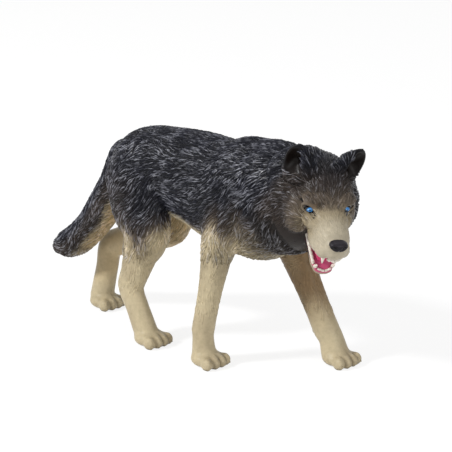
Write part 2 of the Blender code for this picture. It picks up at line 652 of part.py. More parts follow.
def build_wolf():
    trunk, neck, tail = trunk_loft(), neck_loft(), tail_loft()
    head = head_place()
    jaw = jaw_place(head)
    cranium = skull_loft(head)
    stance = stand()
    legs = leg_forms(stance)
    forms = [trunk.mesh("trunk"), neck.mesh("neck"), tail.mesh("tail"), cranium.mesh("cranium")]
    forms += [muzzle_loft(head).mesh("muzzle"), jaw_loft(jaw).mesh("jaw")] + face_forms(head)
    for _, parts in legs:
        forms += parts
    body = join("body", forms)
    fuse(body, SKIN_GRID, 4)

    fine = mouth_forms(head, jaw) + eye_forms(head)
    fine.append(ear_form("ear_right", head, RIGHT, EAR_OUT_RIGHT, EAR_SPLAY_RIGHT))
    fine.append(ear_form("ear_left", head, LEFT, EAR_OUT_LEFT, EAR_SPLAY_LEFT))
    for name, (_, paw) in stance.items():
        fine += paw_forms(name, paw)
    around = np.linspace(0, 2 * math.pi, LOCK_COUNT, endpoint=False)
    fine += fur_rows("coat", trunk, np.linspace(0.16, 0.95, 11), around, 1.0)
    fine += fur_rows("ruff", neck, np.linspace(0.3, 0.95, 6), around, 1.1, 0.5)
    fine += fur_rows("brush", tail, np.linspace(0.02, 0.88, 8), around[::2], 0.9, 0.0, 1)
    fine += fur_rows("crown", cranium, np.linspace(0.35, 0.85, 4), around, 0.5, 0.0)
    for name, (leg, _), side, low in zip(stance, legs, (RIGHT, LEFT, RIGHT, LEFT), (0.3, 0.3, 0.42, 0.42)):
        outer = np.linspace(-1.5, 1.5, 6) + (math.pi if side == RIGHT else 0)
        fine += fur_rows(name + "_fur", leg, np.linspace(0.02, low, 4), outer, 0.9, 0.0, 1)
    wolf = join("wolf", [body] + fine)
    fuse(wolf, DETAIL_GRID, 1)
    drop_flecks(wolf)
    return wolf


def stand_flat(wolf):
    """Trim the soles level and put the origin under the middle of the figure."""
    form = bmesh.new()
    form.from_mesh(wolf.data)
    level = SOLE_TRIM * MM
    geometry = form.verts[:] + form.edges[:] + form.faces[:]
    cut = bmesh.ops.bisect_plane(form, geom=geometry, plane_co=(0, 0, level), plane_no=(0, 0, -1),
                                 clear_outer=True, dist=TRIM_SNAP * MM)
    rim = [e for e in cut["geom_cut"] if isinstance(e, bmesh.types.BMEdge)]
    for edge in rim:
        for corner in edge.verts:
            corner.co.z = level
    bmesh.ops.holes_fill(form, edges=rim)
    bmesh.ops.recalc_face_normals(form, faces=form.faces)
    places = np.array([v.co for v in form.verts])
    low, high = places.min(axis=0), places.max(axis=0)
    shift = Vector((-(low[0] + high[0]) / 2, -(low[1] + high[1]) / 2, -low[2]))
    bmesh.ops.translate(form, vec=shift, verts=form.verts)
    form.to_mesh(wolf.data)
    form.free()
    return shift


def painted_vinyl():
    """Charcoal coat colour of the moulded figure, slightly glossy."""
    material = bpy.data.materials.new("painted_vinyl")
    material.use_nodes = True
    shader = material.node_tree.nodes["Principled BSDF"]
    shader.inputs["Base Color"].default_value = (0.045, 0.045, 0.052, 1.0)
    shader.inputs["Roughness"].default_value = 0.42
    shader.inputs["Metallic"].default_value = 0.0
    return material


def main():
    clear_scene()
    wolf = build_wolf()
    thin = wolf.modifiers.new("thin", "DECIMATE")
    thin.ratio = FACE_COUNT / (2 * len(wolf.data.polygons))
    thin.use_collapse_triangulate = True
    apply_modifiers(wolf)
    shift = stand_flat(wolf)
    print("shift to the middle, mm", [round(v / MM, 3) for v in shift])
    wolf.data.materials.clear()
    wolf.data.materials.append(painted_vinyl())
    wolf.data.shade_smooth()
    home = bpy.data.collections.new("wolf_figurine")
    bpy.context.scene.collection.children.link(home)
    bpy.context.scene.collection.objects.unlink(wolf)
    home.objects.link(wolf)


main()
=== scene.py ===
# Walking wolf figurine, 107 mm long: moulded vinyl with sculpted fur and hand-painted detail.
# Lengths are in millimetres, +X forward, +Y the wolf's left, +Z up, until a mesh is made.
import math

import bpy
import numpy as np
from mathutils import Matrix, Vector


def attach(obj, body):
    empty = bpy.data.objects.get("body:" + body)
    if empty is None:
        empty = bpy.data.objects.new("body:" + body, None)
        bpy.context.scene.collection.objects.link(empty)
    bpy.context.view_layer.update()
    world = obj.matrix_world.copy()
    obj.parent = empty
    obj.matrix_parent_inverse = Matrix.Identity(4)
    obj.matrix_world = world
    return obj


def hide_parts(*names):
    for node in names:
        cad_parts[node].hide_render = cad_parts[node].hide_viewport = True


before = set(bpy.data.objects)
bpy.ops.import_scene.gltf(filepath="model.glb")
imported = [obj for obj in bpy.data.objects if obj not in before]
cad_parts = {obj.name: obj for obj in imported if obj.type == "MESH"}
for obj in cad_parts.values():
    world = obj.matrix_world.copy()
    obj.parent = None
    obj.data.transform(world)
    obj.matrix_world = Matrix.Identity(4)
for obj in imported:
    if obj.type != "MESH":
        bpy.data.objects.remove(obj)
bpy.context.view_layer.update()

mm = 0.001
drawingShift = np.array((-3.335, -0.837, -0.30))  # from the drawing's origin to the middle of the CAD box
dice = np.random.default_rng(11)


def turned(axis, degrees):
    # rotation matrix about one of the three axes
    a = math.radians(degrees)
    c, s = math.cos(a), math.sin(a)
    return np.array({"X": ((1, 0, 0), (0, c, -s), (0, s, c)),
                     "Y": ((c, 0, s), (0, 1, 0), (-s, 0, c)),
                     "Z": ((c, -s, 0), (s, c, 0), (0, 0, 1))}[axis], float)


def unit(v):
    # each vector divided by its length
    return v / np.maximum(np.linalg.norm(v, axis=-1, keepdims=True), 1e-9)


def ease(value, low, high):
    # smooth step: 0 below low, 1 above high, 3t^2 - 2t^3 between
    t = np.clip((value - low) / (high - low), 0, 1)
    return t * t * (3 - 2 * t)


def ripple(points, size, seed):
    # smooth wandering value from -1 to 1: a sum of seven sine waves about one size long
    waves = np.random.default_rng(seed)
    heading = unit(waves.normal(size=(7, 3))) * waves.uniform(0.6, 1.5, (7, 1)) * 2 * math.pi / size
    return np.sin(points @ heading.T + waves.uniform(0, 6.28, 7)).sum(axis=1) / 3.2


def smoothRows(rows, perSpan=6):
    # Catmull-Rom through the rows, every column and every span at once
    rows = np.array(rows, float)
    p = np.vstack([2 * rows[:1] - rows[1:2], rows, 2 * rows[-1:] - rows[-2:-1]])
    a, b, c, d = p[:-3, None], p[1:-2, None], p[2:-1, None], p[3:, None]
    t = np.linspace(0, 1, perSpan, endpoint=False)[None, :, None]
    spans = b + 0.5 * t * (c - a + t * (2 * a - 5 * b + 4 * c - d + t * (3 * (b - c) + d - a)))
    return np.vstack([spans.reshape(-1, rows.shape[1]), rows[-1:]])


def carried(rows, side=(0, 1, 0), perSpan=6):
    # an oval carried along a path; a row is x, y, z, half-width, half-depth
    fine = smoothRows(rows, perSpan)
    centre, half = fine[:, :3], np.maximum(fine[:, 3:5], 0.05)
    along = unit(np.gradient(centre, axis=0))
    side = np.array(side, float)
    across = unit(side - along * (along @ side)[:, None])
    return {"centre": centre, "half": half, "along": along, "across": across, "deep": np.cross(along, across)}


def gridFaces(rings, around, offset=0):
    # quads of a closed tube grid, as an array of point numbers
    r, s = np.meshgrid(np.arange(rings - 1), np.arange(around), indexing="ij")
    n = (s + 1) % around
    quads = np.stack([r * around + s, r * around + n, (r + 1) * around + n, (r + 1) * around + s], axis=-1)
    return quads.reshape(-1, 4) + offset


def closedGrid(grid, south, north):
    # a tube grid closed by a fan at each pole; faces turned outward by the sign of the volume
    rings, around = grid.shape[:2]
    points = np.vstack([grid.reshape(-1, 3), [south, north]])
    quads = gridFaces(rings, around)
    s = np.arange(around)
    n = (s + 1) % around
    top = (rings - 1) * around
    low = np.stack([s, np.full(around, rings * around), n], axis=-1)
    high = np.stack([top + s, top + n, np.full(around, rings * around + 1)], axis=-1)
    tris = np.vstack([low, high])
    corners = np.vstack([quads[:, [0, 1, 2]], quads[:, [0, 2, 3]], tris])
    a, b, c = points[corners[:, 0]], points[corners[:, 1]], points[corners[:, 2]]
    if (a * np.cross(b, c)).sum() < 0:
        quads, tris = quads[:, ::-1], tris[:, ::-1]
    return points, quads, tris


def tubeShell(path, around=40, power=2.0):
    # oval sections skinned and domed at both ends; power above 2 squares the oval
    dome = np.radians([80, 60, 40, 20])
    last = len(path["centre"]) - 1
    pick = np.concatenate([np.zeros(4, int), np.arange(last + 1), np.full(4, last)])
    grow = np.concatenate([np.cos(dome), np.ones(last + 1), np.cos(dome[::-1])])
    start, end = path["half"][0].min(), path["half"][last].min()
    slide = np.concatenate([-start * np.sin(dome), np.zeros(last + 1), end * np.sin(dome[::-1])])
    angle = np.linspace(0, 2 * math.pi, around, endpoint=False)
    c, s = np.cos(angle), np.sin(angle)
    c, s = np.sign(c) * np.abs(c) ** (2 / power), np.sign(s) * np.abs(s) ** (2 / power)
    half = path["half"][pick] * grow[:, None]
    middle = path["centre"][pick] + path["along"][pick] * slide[:, None]
    grid = (middle[:, None] + path["across"][pick][:, None] * (half[:, :1] * c)[..., None]
            + path["deep"][pick][:, None] * (half[:, 1:] * s)[..., None])
    south = path["centre"][0] - path["along"][0] * start
    north = path["centre"][last] + path["along"][last] * end
    return closedGrid(grid, south, north)


def ballShell(centre, half, turn=np.eye(3), rings=13, around=24):
    # an egg: x = a cos(v) cos(u), y = b cos(v) sin(u), z = c sin(v), then turned and placed
    v = np.linspace(-math.pi / 2, math.pi / 2, rings + 2)[1:-1]
    u = np.linspace(0, 2 * math.pi, around, endpoint=False)
    grid = np.stack([np.cos(v)[:, None] * np.cos(u), np.cos(v)[:, None] * np.sin(u),
                     np.sin(v)[:, None] * np.ones(around)], axis=-1) * np.array(half)
    poles = np.array(((0, 0, -half[2]), (0, 0, half[2])))
    return closedGrid(grid @ turn.T + centre, *(poles @ turn.T + centre))


def coneShell(base, tip, radius, bend=(0, 0, 0), around=8):
    # a tooth or claw: radius falls as 1, 0.86, 0.55, 0.22 from base to tip, bent sideways by t^2
    base, tip = np.array(base, float), np.array(tip, float)
    t = np.array((0, 0.35, 0.7, 0.92))
    part = np.array((1, 0.86, 0.55, 0.22)) * radius
    run = tip - base
    side = unit(np.cross(run, (0.3, 0.9, 0.2)))
    deep = unit(np.cross(run, side))
    u = np.linspace(0, 2 * math.pi, around, endpoint=False)
    middle = base + t[:, None] * run + (t ** 2)[:, None] * np.array(bend, float)
    grid = middle[:, None] + part[:, None, None] * (np.cos(u)[:, None] * side + np.sin(u)[:, None] * deep)
    return closedGrid(grid, base, tip + np.array(bend, float))


def gather(shells):
    # several closed shells in one list of points and faces
    offset = np.cumsum([0] + [len(s[0]) for s in shells])
    points = np.vstack([s[0] for s in shells])
    faces = []
    for shell, start in zip(shells, offset):
        faces += (shell[1] + start).tolist() + (shell[2] + start).tolist()
    return points, faces


def makeObject(name, points, faces):
    # a mesh object in metres, from points in the drawing's millimetres
    mesh = bpy.data.meshes.new(name)
    mesh.from_pydata((points + drawingShift) * mm, [], faces)
    made = bpy.data.objects.new(name, mesh)
    bpy.context.scene.collection.objects.link(made)
    return made


def settled(piece):
    # the piece with its modifiers worked into its mesh
    graph = bpy.context.evaluated_depsgraph_get()
    mesh = bpy.data.meshes.new_from_object(piece.evaluated_get(graph))
    piece.modifiers.clear()
    old, piece.data = piece.data, mesh
    bpy.data.meshes.remove(old)
    mesh.name = piece.name
    return piece


def fused(name, shells, grid, rounds):
    # melt overlapping shells into one skin on a voxel grid and ease the joins
    piece = makeObject(name, *gather(shells))
    melt = piece.modifiers.new("melt", "REMESH")
    melt.mode = "VOXEL"
    melt.voxel_size = grid * mm
    smooth = piece.modifiers.new("ease", "SMOOTH")
    smooth.factor, smooth.iterations = 0.5, rounds
    settled(piece)
    piece.data.shade_smooth()
    return piece


def pointsOf(piece):
    # the piece's vertices in the drawing's millimetres
    co = np.empty(len(piece.data.vertices) * 3, np.float32)
    piece.data.vertices.foreach_get("co", co)
    return co.reshape(-1, 3).astype(float) / mm - drawingShift


def normalsOf(piece):
    # the way out at each vertex
    n = np.empty(len(piece.data.vertices) * 3, np.float32)
    piece.data.vertex_normals.foreach_get("vector", n)
    return n.reshape(-1, 3).astype(float)


def onSkin(skin, points, lift=0.5):
    # nearest places on the skin, and the way out there, from two shrink-wrapped copies of the points
    found = []
    for offset in (0.0, lift):
        probe = makeObject("probe", points, [])
        wrap = probe.modifiers.new("wrap", "SHRINKWRAP")
        wrap.target = skin
        wrap.wrap_method, wrap.wrap_mode = "NEAREST_SURFACEPOINT", "ABOVE_SURFACE"
        wrap.offset = offset * mm
        found.append(pointsOf(settled(probe)))
        bpy.data.objects.remove(probe)
    return found[0], unit(found[1] - found[0])


def paintPoints(piece, colours, ridge=None):
    # linear colours, and how far up a ridge a point is, as point attributes
    rgba = np.ones((len(colours), 4), np.float32)
    rgba[:, :3] = colours
    piece.data.attributes.new("paint", "FLOAT_COLOR", "POINT").data.foreach_set("color", rgba.ravel())
    ridge = np.zeros(len(colours)) if ridge is None else ridge
    piece.data.attributes.new("ridge", "FLOAT", "POINT").data.foreach_set("value", ridge.astype(np.float32))


def dressed(piece, material):
    # material and slot on, and the piece rides on the one body
    piece.data.materials.clear()
    piece.data.materials.append(material)
    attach(piece, "root")
    return piece


body = {
    "trunkLength": 59.0, "rumpHeight": 53.4, "loinHeight": 54.8, "withersHeight": 56.2,
    "chestClearance": 26.8, "bellyClearance": 31.0, "groinClearance": 34.4,
    "rumpWidth": 18.5, "loinWidth": 18.5, "chestWidth": 22.5,
    "neckLength": 21.0, "ruffWidth": 22.0, "ruffDepth": 25.0,
    "forelegDepth": 6.6, "forelegWidth": 5.5, "hindlegDepth": 6.4, "hindlegWidth": 5.0,
    "thighDepth": 18.5, "thighWidth": 11.0,
    "tailDrop": 34.3, "tailReach": 24.0, "tailSway": -1.8, "tailThickness": 9.0,
    "skinGrid": 0.46, "easeRounds": 6,
}
paws = {
    "foreRight": (13.0, -10.3), "foreLeft": (35.9, 12.0), "hindRight": (-8.3, -8.6), "hindLeft": (-38.5, 5.2),
    "length": 9.7, "width": 8.6, "height": 4.6, "toes": 4, "toeFan": 9, "soleLift": 0.02,
    "clawRoot": 0.6, "clawTipInset": 0.1, "clawDrop": 0.15, "clawRadius": 0.45,
}
headPose = {"origin": (46.6, -5.7, 45.3), "turn": -35.5, "pitch": -23.0, "roll": -3.5}
headTurn = turned("Z", headPose["turn"]) @ turned("Y", -headPose["pitch"]) @ turned("X", headPose["roll"])
headOrigin = np.array(headPose["origin"])


def fromHead(points):
    # head frame (+x out of the nose, +z out of the crown) to the drawing's frame
    return np.asarray(points, float) @ headTurn.T + headOrigin


def toHead(points):
    # the drawing's frame to the head's
    return (points - headOrigin) @ headTurn


def trunkPath():
    # sections from rump to chest: top and underside lines with the width between them
    b = body
    start = -0.49 * b["trunkLength"]
    table = np.array((  # share of length, top, underside, width
        (0.07, 0.87 * b["rumpHeight"], 1.12 * b["groinClearance"], 0.60 * b["rumpWidth"]),
        (0.14, 0.955 * b["rumpHeight"], 1.04 * b["groinClearance"], 0.88 * b["rumpWidth"]),
        (0.23, b["rumpHeight"], b["groinClearance"], b["rumpWidth"]),
        (0.38, 1.018 * b["rumpHeight"], 0.5 * (b["groinClearance"] + b["bellyClearance"]), b["loinWidth"]),
        (0.53, b["loinHeight"], b["bellyClearance"], 1.05 * b["loinWidth"]),
        (0.67, 0.97 * b["withersHeight"], 0.49 * (b["bellyClearance"] + b["chestClearance"]),
         0.96 * b["chestWidth"]),
        (0.80, b["withersHeight"], b["chestClearance"], b["chestWidth"]),
        (0.92, 0.985 * b["withersHeight"], 1.06 * b["chestClearance"], 0.93 * b["chestWidth"]),
        (1.00, 0.93 * b["withersHeight"], 1.22 * b["chestClearance"], 0.72 * b["chestWidth"])))
    x, top, low, width = start + table[:, 0] * b["trunkLength"], table[:, 1], table[:, 2], table[:, 3]
    return carried(np.stack([x, 0 * x, (top + low) / 2, width / 2, (top - low) / 2], axis=1), perSpan=8)


def neckPath():
    # the fur collar: a bend from the shoulders to the back of the skull, (1-t)^2 a + 2t(1-t) b + t^2 c
    b = body
    front, middle = 0.51 * b["trunkLength"], (b["withersHeight"] + b["chestClearance"]) / 2
    nape = fromHead((-11.25, 0, -3.1))
    start = np.array((front - 0.75 * b["neckLength"], 0, middle + 1.0))
    bend = np.array((front + 0.15 * b["neckLength"], 0.2, middle + 2.0))
    table = np.array(((0.0, 0.78, 0.92, 0.0), (0.3, 1.04, 1.08, 0.4), (0.6, 1.07, 1.00, 1.2),
                      (0.85, 1.04, 0.90, 0.9), (1.0, 0.92, 0.74, 0.4)))  # share, width, depth, sink
    t = table[:, :1]
    place = start * (1 - t) ** 2 + bend * 2 * t * (1 - t) + nape * t ** 2
    place[:, 2] -= table[:, 3]
    half = table[:, 1:3] * np.array((b["ruffWidth"], b["ruffDepth"])) / 2
    return carried(np.hstack([place, half]), perSpan=8)


def tailPath():
    # hangs back and down from the rump, a little to the right, and thins to the tip
    b = body
    table = np.array(((0.0, -0.04, 1.06), (0.05, 0.04, 1.05), (0.147, 0.20, 1.02), (0.26, 0.34, 1.0),
                      (0.373, 0.464, 0.96), (0.534, 0.63, 0.88), (0.747, 0.785, 0.86), (0.90, 0.844, 0.74),
                      (0.97, 0.865, 0.52)))  # share of reach, share of drop, thickness
    place = np.stack([-0.42 * b["trunkLength"] - table[:, 0] * b["tailReach"],
                      0.55 + table[:, 0] * b["tailSway"],
                      0.80 * b["rumpHeight"] - 0.88 * table[:, 1] * b["tailDrop"]], axis=1)
    thick = table[:, 2:] * b["tailThickness"] / 2
    return carried(np.hstack([place, thick, thick]), perSpan=6)


def forelegPath(paw, side, shoulderX, elbowX, wrist, girth):
    # shoulder, elbow, wrist and paw, with blends of two joints between them
    b = body
    hipY = side * 0.30 * b["chestWidth"]
    wide, deep = girth * b["forelegWidth"] / 2, girth * b["forelegDepth"] / 2
    elbow = np.array((elbowX, 0.45 * hipY + 0.534 * paw[1], 1.12 * b["chestClearance"]))
    joint = np.array((wrist[0], 0.97 * paw[1], wrist[1]))
    rows = np.array((
        (shoulderX, hipY, 0.80 * b["withersHeight"], 1.2 * wide, 2.0 * deep),
        (shoulderX + 0.4, 1.12 * hipY, 0.66 * b["withersHeight"], 1.5 * wide, 2.1 * deep),
        (*elbow, 1.25 * wide, 1.45 * deep),
        (*(0.7 * elbow + 0.3 * joint), 1.10 * wide, 1.15 * deep),
        (*(0.35 * elbow + 0.65 * joint), 0.98 * wide, 0.95 * deep),
        (*joint, 1.04 * wide, 0.95 * deep),
        (0.5 * joint[0] + 0.5 * (paw[0] - 1.5), paw[1], 0.5 * (joint[2] + paws["height"]),
         0.98 * wide, 0.88 * deep),
        (paw[0] - 0.14 * paws["length"], paw[1], 0.62 * paws["height"], 1.12 * wide, deep)))
    return carried(rows)


def hindlegPath(paw, side, knee, hock):
    # hip, knee, hock and heel, with blends of two joints between them
    b = body
    hip = np.array((-0.29 * b["trunkLength"], side * 0.26 * b["rumpWidth"], 0.78 * b["rumpHeight"]))
    wide, deep = b["hindlegWidth"] / 2, b["hindlegDepth"] / 2
    thighWide, thighDeep = b["thighWidth"] / 2, b["thighDepth"] / 2
    knee, hock = np.array(knee, float), np.array(hock, float)
    heel = np.array((paw[0] - 0.16 * paws["length"], paw[1], 0.62 * paws["height"]))
    rows = np.array((
        (*hip, 0.9 * thighWide, thighDeep),
        (*(hip + (knee - hip) * 0.5), thighWide, 0.94 * thighDeep),
        (*knee, 0.84 * thighWide, 0.72 * thighDeep),
        (*(knee + (hock - knee) * 0.38), 1.46 * wide, 1.52 * deep),
        (*(knee + (hock - knee) * 0.75), 1.14 * wide, 1.2 * deep),
        (*hock, 1.04 * wide, 1.12 * deep),
        (*(hock + (heel - hock) * 0.4), wide, 1.02 * deep),
        (*(hock + (heel - hock) * 0.75), 1.05 * wide, 1.04 * deep),
        (*heel, 1.1 * wide, 1.05 * deep)))
    return carried(rows)


def toePlaces(paw):
    # middle, half-size and turn of each toe, fanned across the paw
    spread = np.linspace(-1, 1, paws["toes"])
    inner = 1 - 0.14 * spread ** 2
    middle = np.stack([paw[0] + 0.29 * paws["length"] * inner, paw[1] + spread * 0.37 * paws["width"],
                       np.full(len(spread), 0.36 * paws["height"])], axis=1)
    half = np.stack([0.22 * paws["length"] * inner, np.full(len(spread), 0.52 * paws["width"] / paws["toes"]),
                     np.full(len(spread), 0.37 * paws["height"])], axis=1)
    return middle, half, paws["toeFan"] * spread


def pawShells(paw):
    # a round pad with its toes
    pad = ballShell((paw[0] - 0.04 * paws["length"], paw[1], 0.44 * paws["height"]),
                    (0.42 * paws["length"], 0.47 * paws["width"], 0.47 * paws["height"]))
    shells = [pad]
    for middle, half, fan in zip(*toePlaces(paw)):
        shells.append(ballShell(middle, half, turned("Z", fan)))
    return shells


def clawShells(paw):
    # a short nub at each toe's tip, rooted inside the toe
    shells = []
    for middle, half, fan in zip(*toePlaces(paw)):
        turn = turned("Z", fan)
        root = middle + turn @ (paws["clawRoot"] * half[0], 0, -0.02 * paws["height"])
        tip = middle + turn @ (half[0] - paws["clawTipInset"], 0, -paws["clawDrop"] * paws["height"])
        shells.append(coneShell(root, tip, paws["clawRadius"], bend=(0.05, 0, 0.05)))
    return shells


trunk, neck, tail = trunkPath(), neckPath(), tailPath()
bends = {  # where each leg bends, and the forelegs' girth
    "foreRight": {"shoulderX": 15.7, "elbowX": 14.6, "wrist": (11.2, 9.6), "girth": 0.94},
    "foreLeft": {"shoulderX": 18.5, "elbowX": 21.8, "wrist": (31.8, 8.8), "girth": 1.08},
    "hindRight": {"knee": (-10.6, -7.6, 28.5), "hock": (-15.4, -8.5, 13.8)},
    "hindLeft": {"knee": (-17.8, 6.8, 27.2), "hock": (-38.1, 6.9, 16.6)},
}
legs = [
    forelegPath(paws["foreRight"], -1, **bends["foreRight"]),
    forelegPath(paws["foreLeft"], 1, **bends["foreLeft"]),
    hindlegPath(paws["hindRight"], -1, **bends["hindRight"]),
    hindlegPath(paws["hindLeft"], 1, **bends["hindLeft"]),
]
pawSpots = [paws[k] for k in bends]
print("paths laid")

# the head's own forms, in the head's frame
skull = {
    "eye": (1.0, 4.5, 1.15), "eyeShift": -0.38, "eyeHalf": (0.8, 1.2, 0.82), "eyeYaw": 30,
    "noseCentre": (12.5, 0, -0.9), "noseHalf": (1.5, 2.2, 1.2),
    "jawHinge": (-6.24, 0, -4.86), "jawOpen": 35.0,
    "headGrid": 0.24, "easeRounds": 5,
}
jawTurn = turned("Y", skull["jawOpen"])


def fromJaw(points):
    # jaw frame (+x along the open lower jaw, from its hinge) to the drawing's frame
    return fromHead(np.asarray(points, float) @ jawTurn.T + np.array(skull["jawHinge"]))


def toJaw(points):
    # the drawing's frame to the jaw's
    return (toHead(points) - np.array(skull["jawHinge"])) @ jawTurn


def headTube(rows, power=2.0, around=44, place=fromHead):
    # a tube given in the head's or the jaw's frame
    rows = np.array(rows, float)
    return tubeShell(carried(np.hstack([place(rows[:, :3]), rows[:, 3:]]), headTurn[:, 1]), around, power)


def headBall(centre, half, yaw=0):
    # an egg given in the head's frame, turned outward by yaw
    return ballShell(fromHead(centre), half, headTurn @ turned("Z", yaw))


cranium = (  # x, y, z, half-width, half-height
    (-16.0, 0, -3.8, 7.4, 6.2), (-12.5, 0, -1.6, 8.0, 7.2), (-8.0, 0, 0.0, 7.7, 7.6),
    (-4.2, 0, 0.0, 7.0, 6.8), (-1.4, 0, -0.5, 6.0, 5.2), (1.0, 0, -1.0, 5.0, 4.0))
muzzle = (
    (-2.0, 0, -1.7, 5.25, 4.5), (1.6, 0, -2.0, 4.8, 4.5), (4.6, 0, -2.5, 4.1, 4.2),
    (7.6, 0, -2.8, 3.8, 3.9), (9.45, 0, -2.9, 3.55, 3.5), (10.7, 0, -3.0, 2.9, 2.8))
jaw = (
    (0.0, 0, -2.6, 4.8, 2.9), (4.5, 0, -2.3, 3.9, 2.4), (9.05, 0.1, -1.8, 3.1, 1.8),
    (12.6, 0.2, -1.5, 2.85, 1.5), (14.35, 0.2, -1.3, 2.3, 1.2))
# x, distance from the middle, shift to the right and z; half-sizes; turn outward; extra breadth on the right
faceMasses = {
    "brow": ((-0.1, 4.1, 0, 2.9), (2.4, 2.2, 1.15), 25, 0),
    "cheek": ((-5.4, 5.2, 0.7, -3.5), (6.2, 3.75, 6.2), 0, 0.2),
    "cheekbone": ((1.6, 4.2, 0, -1.9), (3.2, 1.5, 1.5), -12, 0),
    "whiskerPad": ((9.0, 2.2, 0.25, -4.2), (3.1, 2.0, 2.0), 0, 0),
    "upperLip": ((5.4, 2.9, 0.2, -4.8), (4.2, 1.7, 1.9), 0, 0),
}
# side of the eye, height of the arc and thickness
eyelids = {"upper": (1, 1.25, 0.42), "lower": (-1, 1.0, 0.34)}
wristPads = {"places": ((8.4, 8.4), (28.6, 7.6)), "half": (1.1, 1.0, 1.3)}
ruffMasses = (  # bulges behind the cheeks and over the nape: centre and half-sizes, head's frame
    ((-8.96, -6.73, -4.26), (5.9, 5.35, 8.7)), ((-7.84, 5.35, -5.1), (4.2, 4.55, 7.6)),
    ((-12.5, -3.6, 1.06), (5.4, 8.1, 6.5)))


shells = [tubeShell(trunk, 56), tubeShell(neck, 56), tubeShell(tail, 40)]
shells += [tubeShell(leg, 36) for leg in legs]
for spot, (x, z) in zip(pawSpots[:2], wristPads["places"]):
    shells.append(ballShell((x, 0.97 * spot[1], z), wristPads["half"]))
for spot in pawSpots:
    shells += pawShells(spot)
shells += [headBall(centre, half) for centre, half in ruffMasses]
bodySkin = fused("wolfBody", shells, body["skinGrid"], body["easeRounds"])
print("body skin", len(bodySkin.data.polygons))

# the head takes the front part of the collar along
collar = {key: value[len(neck["centre"]) * 55 // 100:] for key, value in neck.items()}
shells = [headTube(cranium), headTube(muzzle, 2.5), headTube(jaw, 2.4, place=fromJaw), tubeShell(collar, 56)]
shells += [headBall(centre, half) for centre, half in ruffMasses]
for hand in (-1, 1):
    for (x, spread, shift, z), (long, wide, high), yaw, lopsided in faceMasses.values():
        half = (long, wide - lopsided * hand, high)
        shells.append(headBall((x, hand * spread - shift, z), half, hand * yaw))
    arc = np.radians(np.linspace(20, 160, 5))
    for lid, rise, thick in eyelids.values():
        # a lid: an arc over or under the eye, leaning in towards the nose
        y = hand * (skull["eye"][1] - 1.75 * np.cos(arc)) + skull["eyeShift"]
        x = skull["eye"][0] + 0.6 + 0.55 * np.cos(arc)
        z = skull["eye"][2] + lid * rise * np.sin(arc) - 0.6 * np.cos(arc)
        rows = np.stack([x, y, z, np.full(5, thick), np.full(5, thick)], axis=1)
        shells.append(headTube(rows, around=12))

ears = {
    "right": {"base": (-6.7, -5.9, 3.95), "tip": (-7.15, -7.0, 13.5), "half": (-1.5, -3.65, -0.5),
              "face": (0.92, -0.38, 0.0), "cup": 0.32},
    "left": {"base": (-6.7, 3.5, 3.95), "tip": (-7.1, 8.2, 12.1), "half": (-1.4, 3.45, -2.25),
             "face": (0.92, 0.38, 0.0), "cup": 0.12},
    "thick": 2.5, "wall": 0.85, "cupWidth": 0.58,
}


def earShell(e):
    # a cupped leaf: across is cos u, front is sin u, up is v in 0..1; half-width (1 - v^3.5)^0.7;
    # the front is hollowed down to a thin wall by 1 - ((across - cup) / cupWidth)^2
    base, tip, side, face = (np.array(e[k], float) for k in ("base", "tip", "half", "face"))
    v = np.linspace(0, 0.985, 34)[:, None]
    u = np.linspace(0, 2 * math.pi, 64, endpoint=False)[None, :]
    across, front = np.cos(u), np.sin(u)
    width = (1 - v ** 3.5) ** 0.7 * (0.92 + 0.08 * ease(v, 0.0, 0.35))
    deep = ears["thick"] * (1 - v ** 1.7) + 0.2 * width
    floor = (2 * deep - ears["wall"]) * ease(v, 0.05, 0.5) * (1 - ease(v, 0.82, 0.97))
    hollow = (np.maximum(1 - ((across - e["cup"]) / ears["cupWidth"]) ** 2, 0) ** 0.7 * (front > 0)
              * np.minimum(1, np.abs(front) * 3))
    out = deep * front * (0.55 + 0.45 * np.abs(front))
    out = out - floor * hollow * np.minimum(deep * np.abs(front), deep) / deep
    grid = base + v[..., None] * (tip - base)
    grid = grid + (width * across)[..., None] * side + out[..., None] * unit(face)
    placed = fromHead(grid.reshape(-1, 3)).reshape(grid.shape)
    return closedGrid(placed, fromHead(base), fromHead(tip))


shells += [earShell(ears["right"]), earShell(ears["left"])]
headSkin = fused("wolfHead", shells, skull["headGrid"], skull["easeRounds"])
print("head skin", len(headSkin.data.polygons))


def hexLinear(code):
    # sRGB hex to linear light, channel by channel
    c = np.array([int(code[i:i + 2], 16) for i in (1, 3, 5)]) / 255
    return np.where(c <= 0.04045, c / 12.92, ((c + 0.055) / 1.055) ** 2.4)


paints = {name: hexLinear(code) for name, code in {
    "charcoal": "#1b1c24", "soot": "#100f12", "umber": "#3b332e", "taupe": "#6a5f53", "bark": "#54452f",
    "tan": "#8f8269", "sand": "#ab9c80", "cream": "#bfb192", "bone": "#b4aa95", "honey": "#c9ae80",
    "ochre": "#80684b", "rust": "#8a5a34", "earHollow": "#15100e", "gum": "#c2557a",
    "iris": "#2f86cf", "eyeBlack": "#0c0a0c", "pupil": "#0b1a33", "glint": "#9fcbec",
    # the nostrils' near-black is painted shade in their dents
    "noseBlack": "#17121a", "nostrilShade": "#040304", "tongue": "#c8406e", "tooth": "#e6dfd2",
    "claw": "#ab9d80"}.items()}


def plain(paint, count):
    # one paint at every point
    return np.tile(paints[paint], (count, 1))


def washed(base, paint, amount):
    # lay a paint over what is there, by an amount from 0 to 1 at each point
    amount = np.clip(amount, 0, 1)[:, None]
    return base * (1 - amount) + paints[paint] * amount


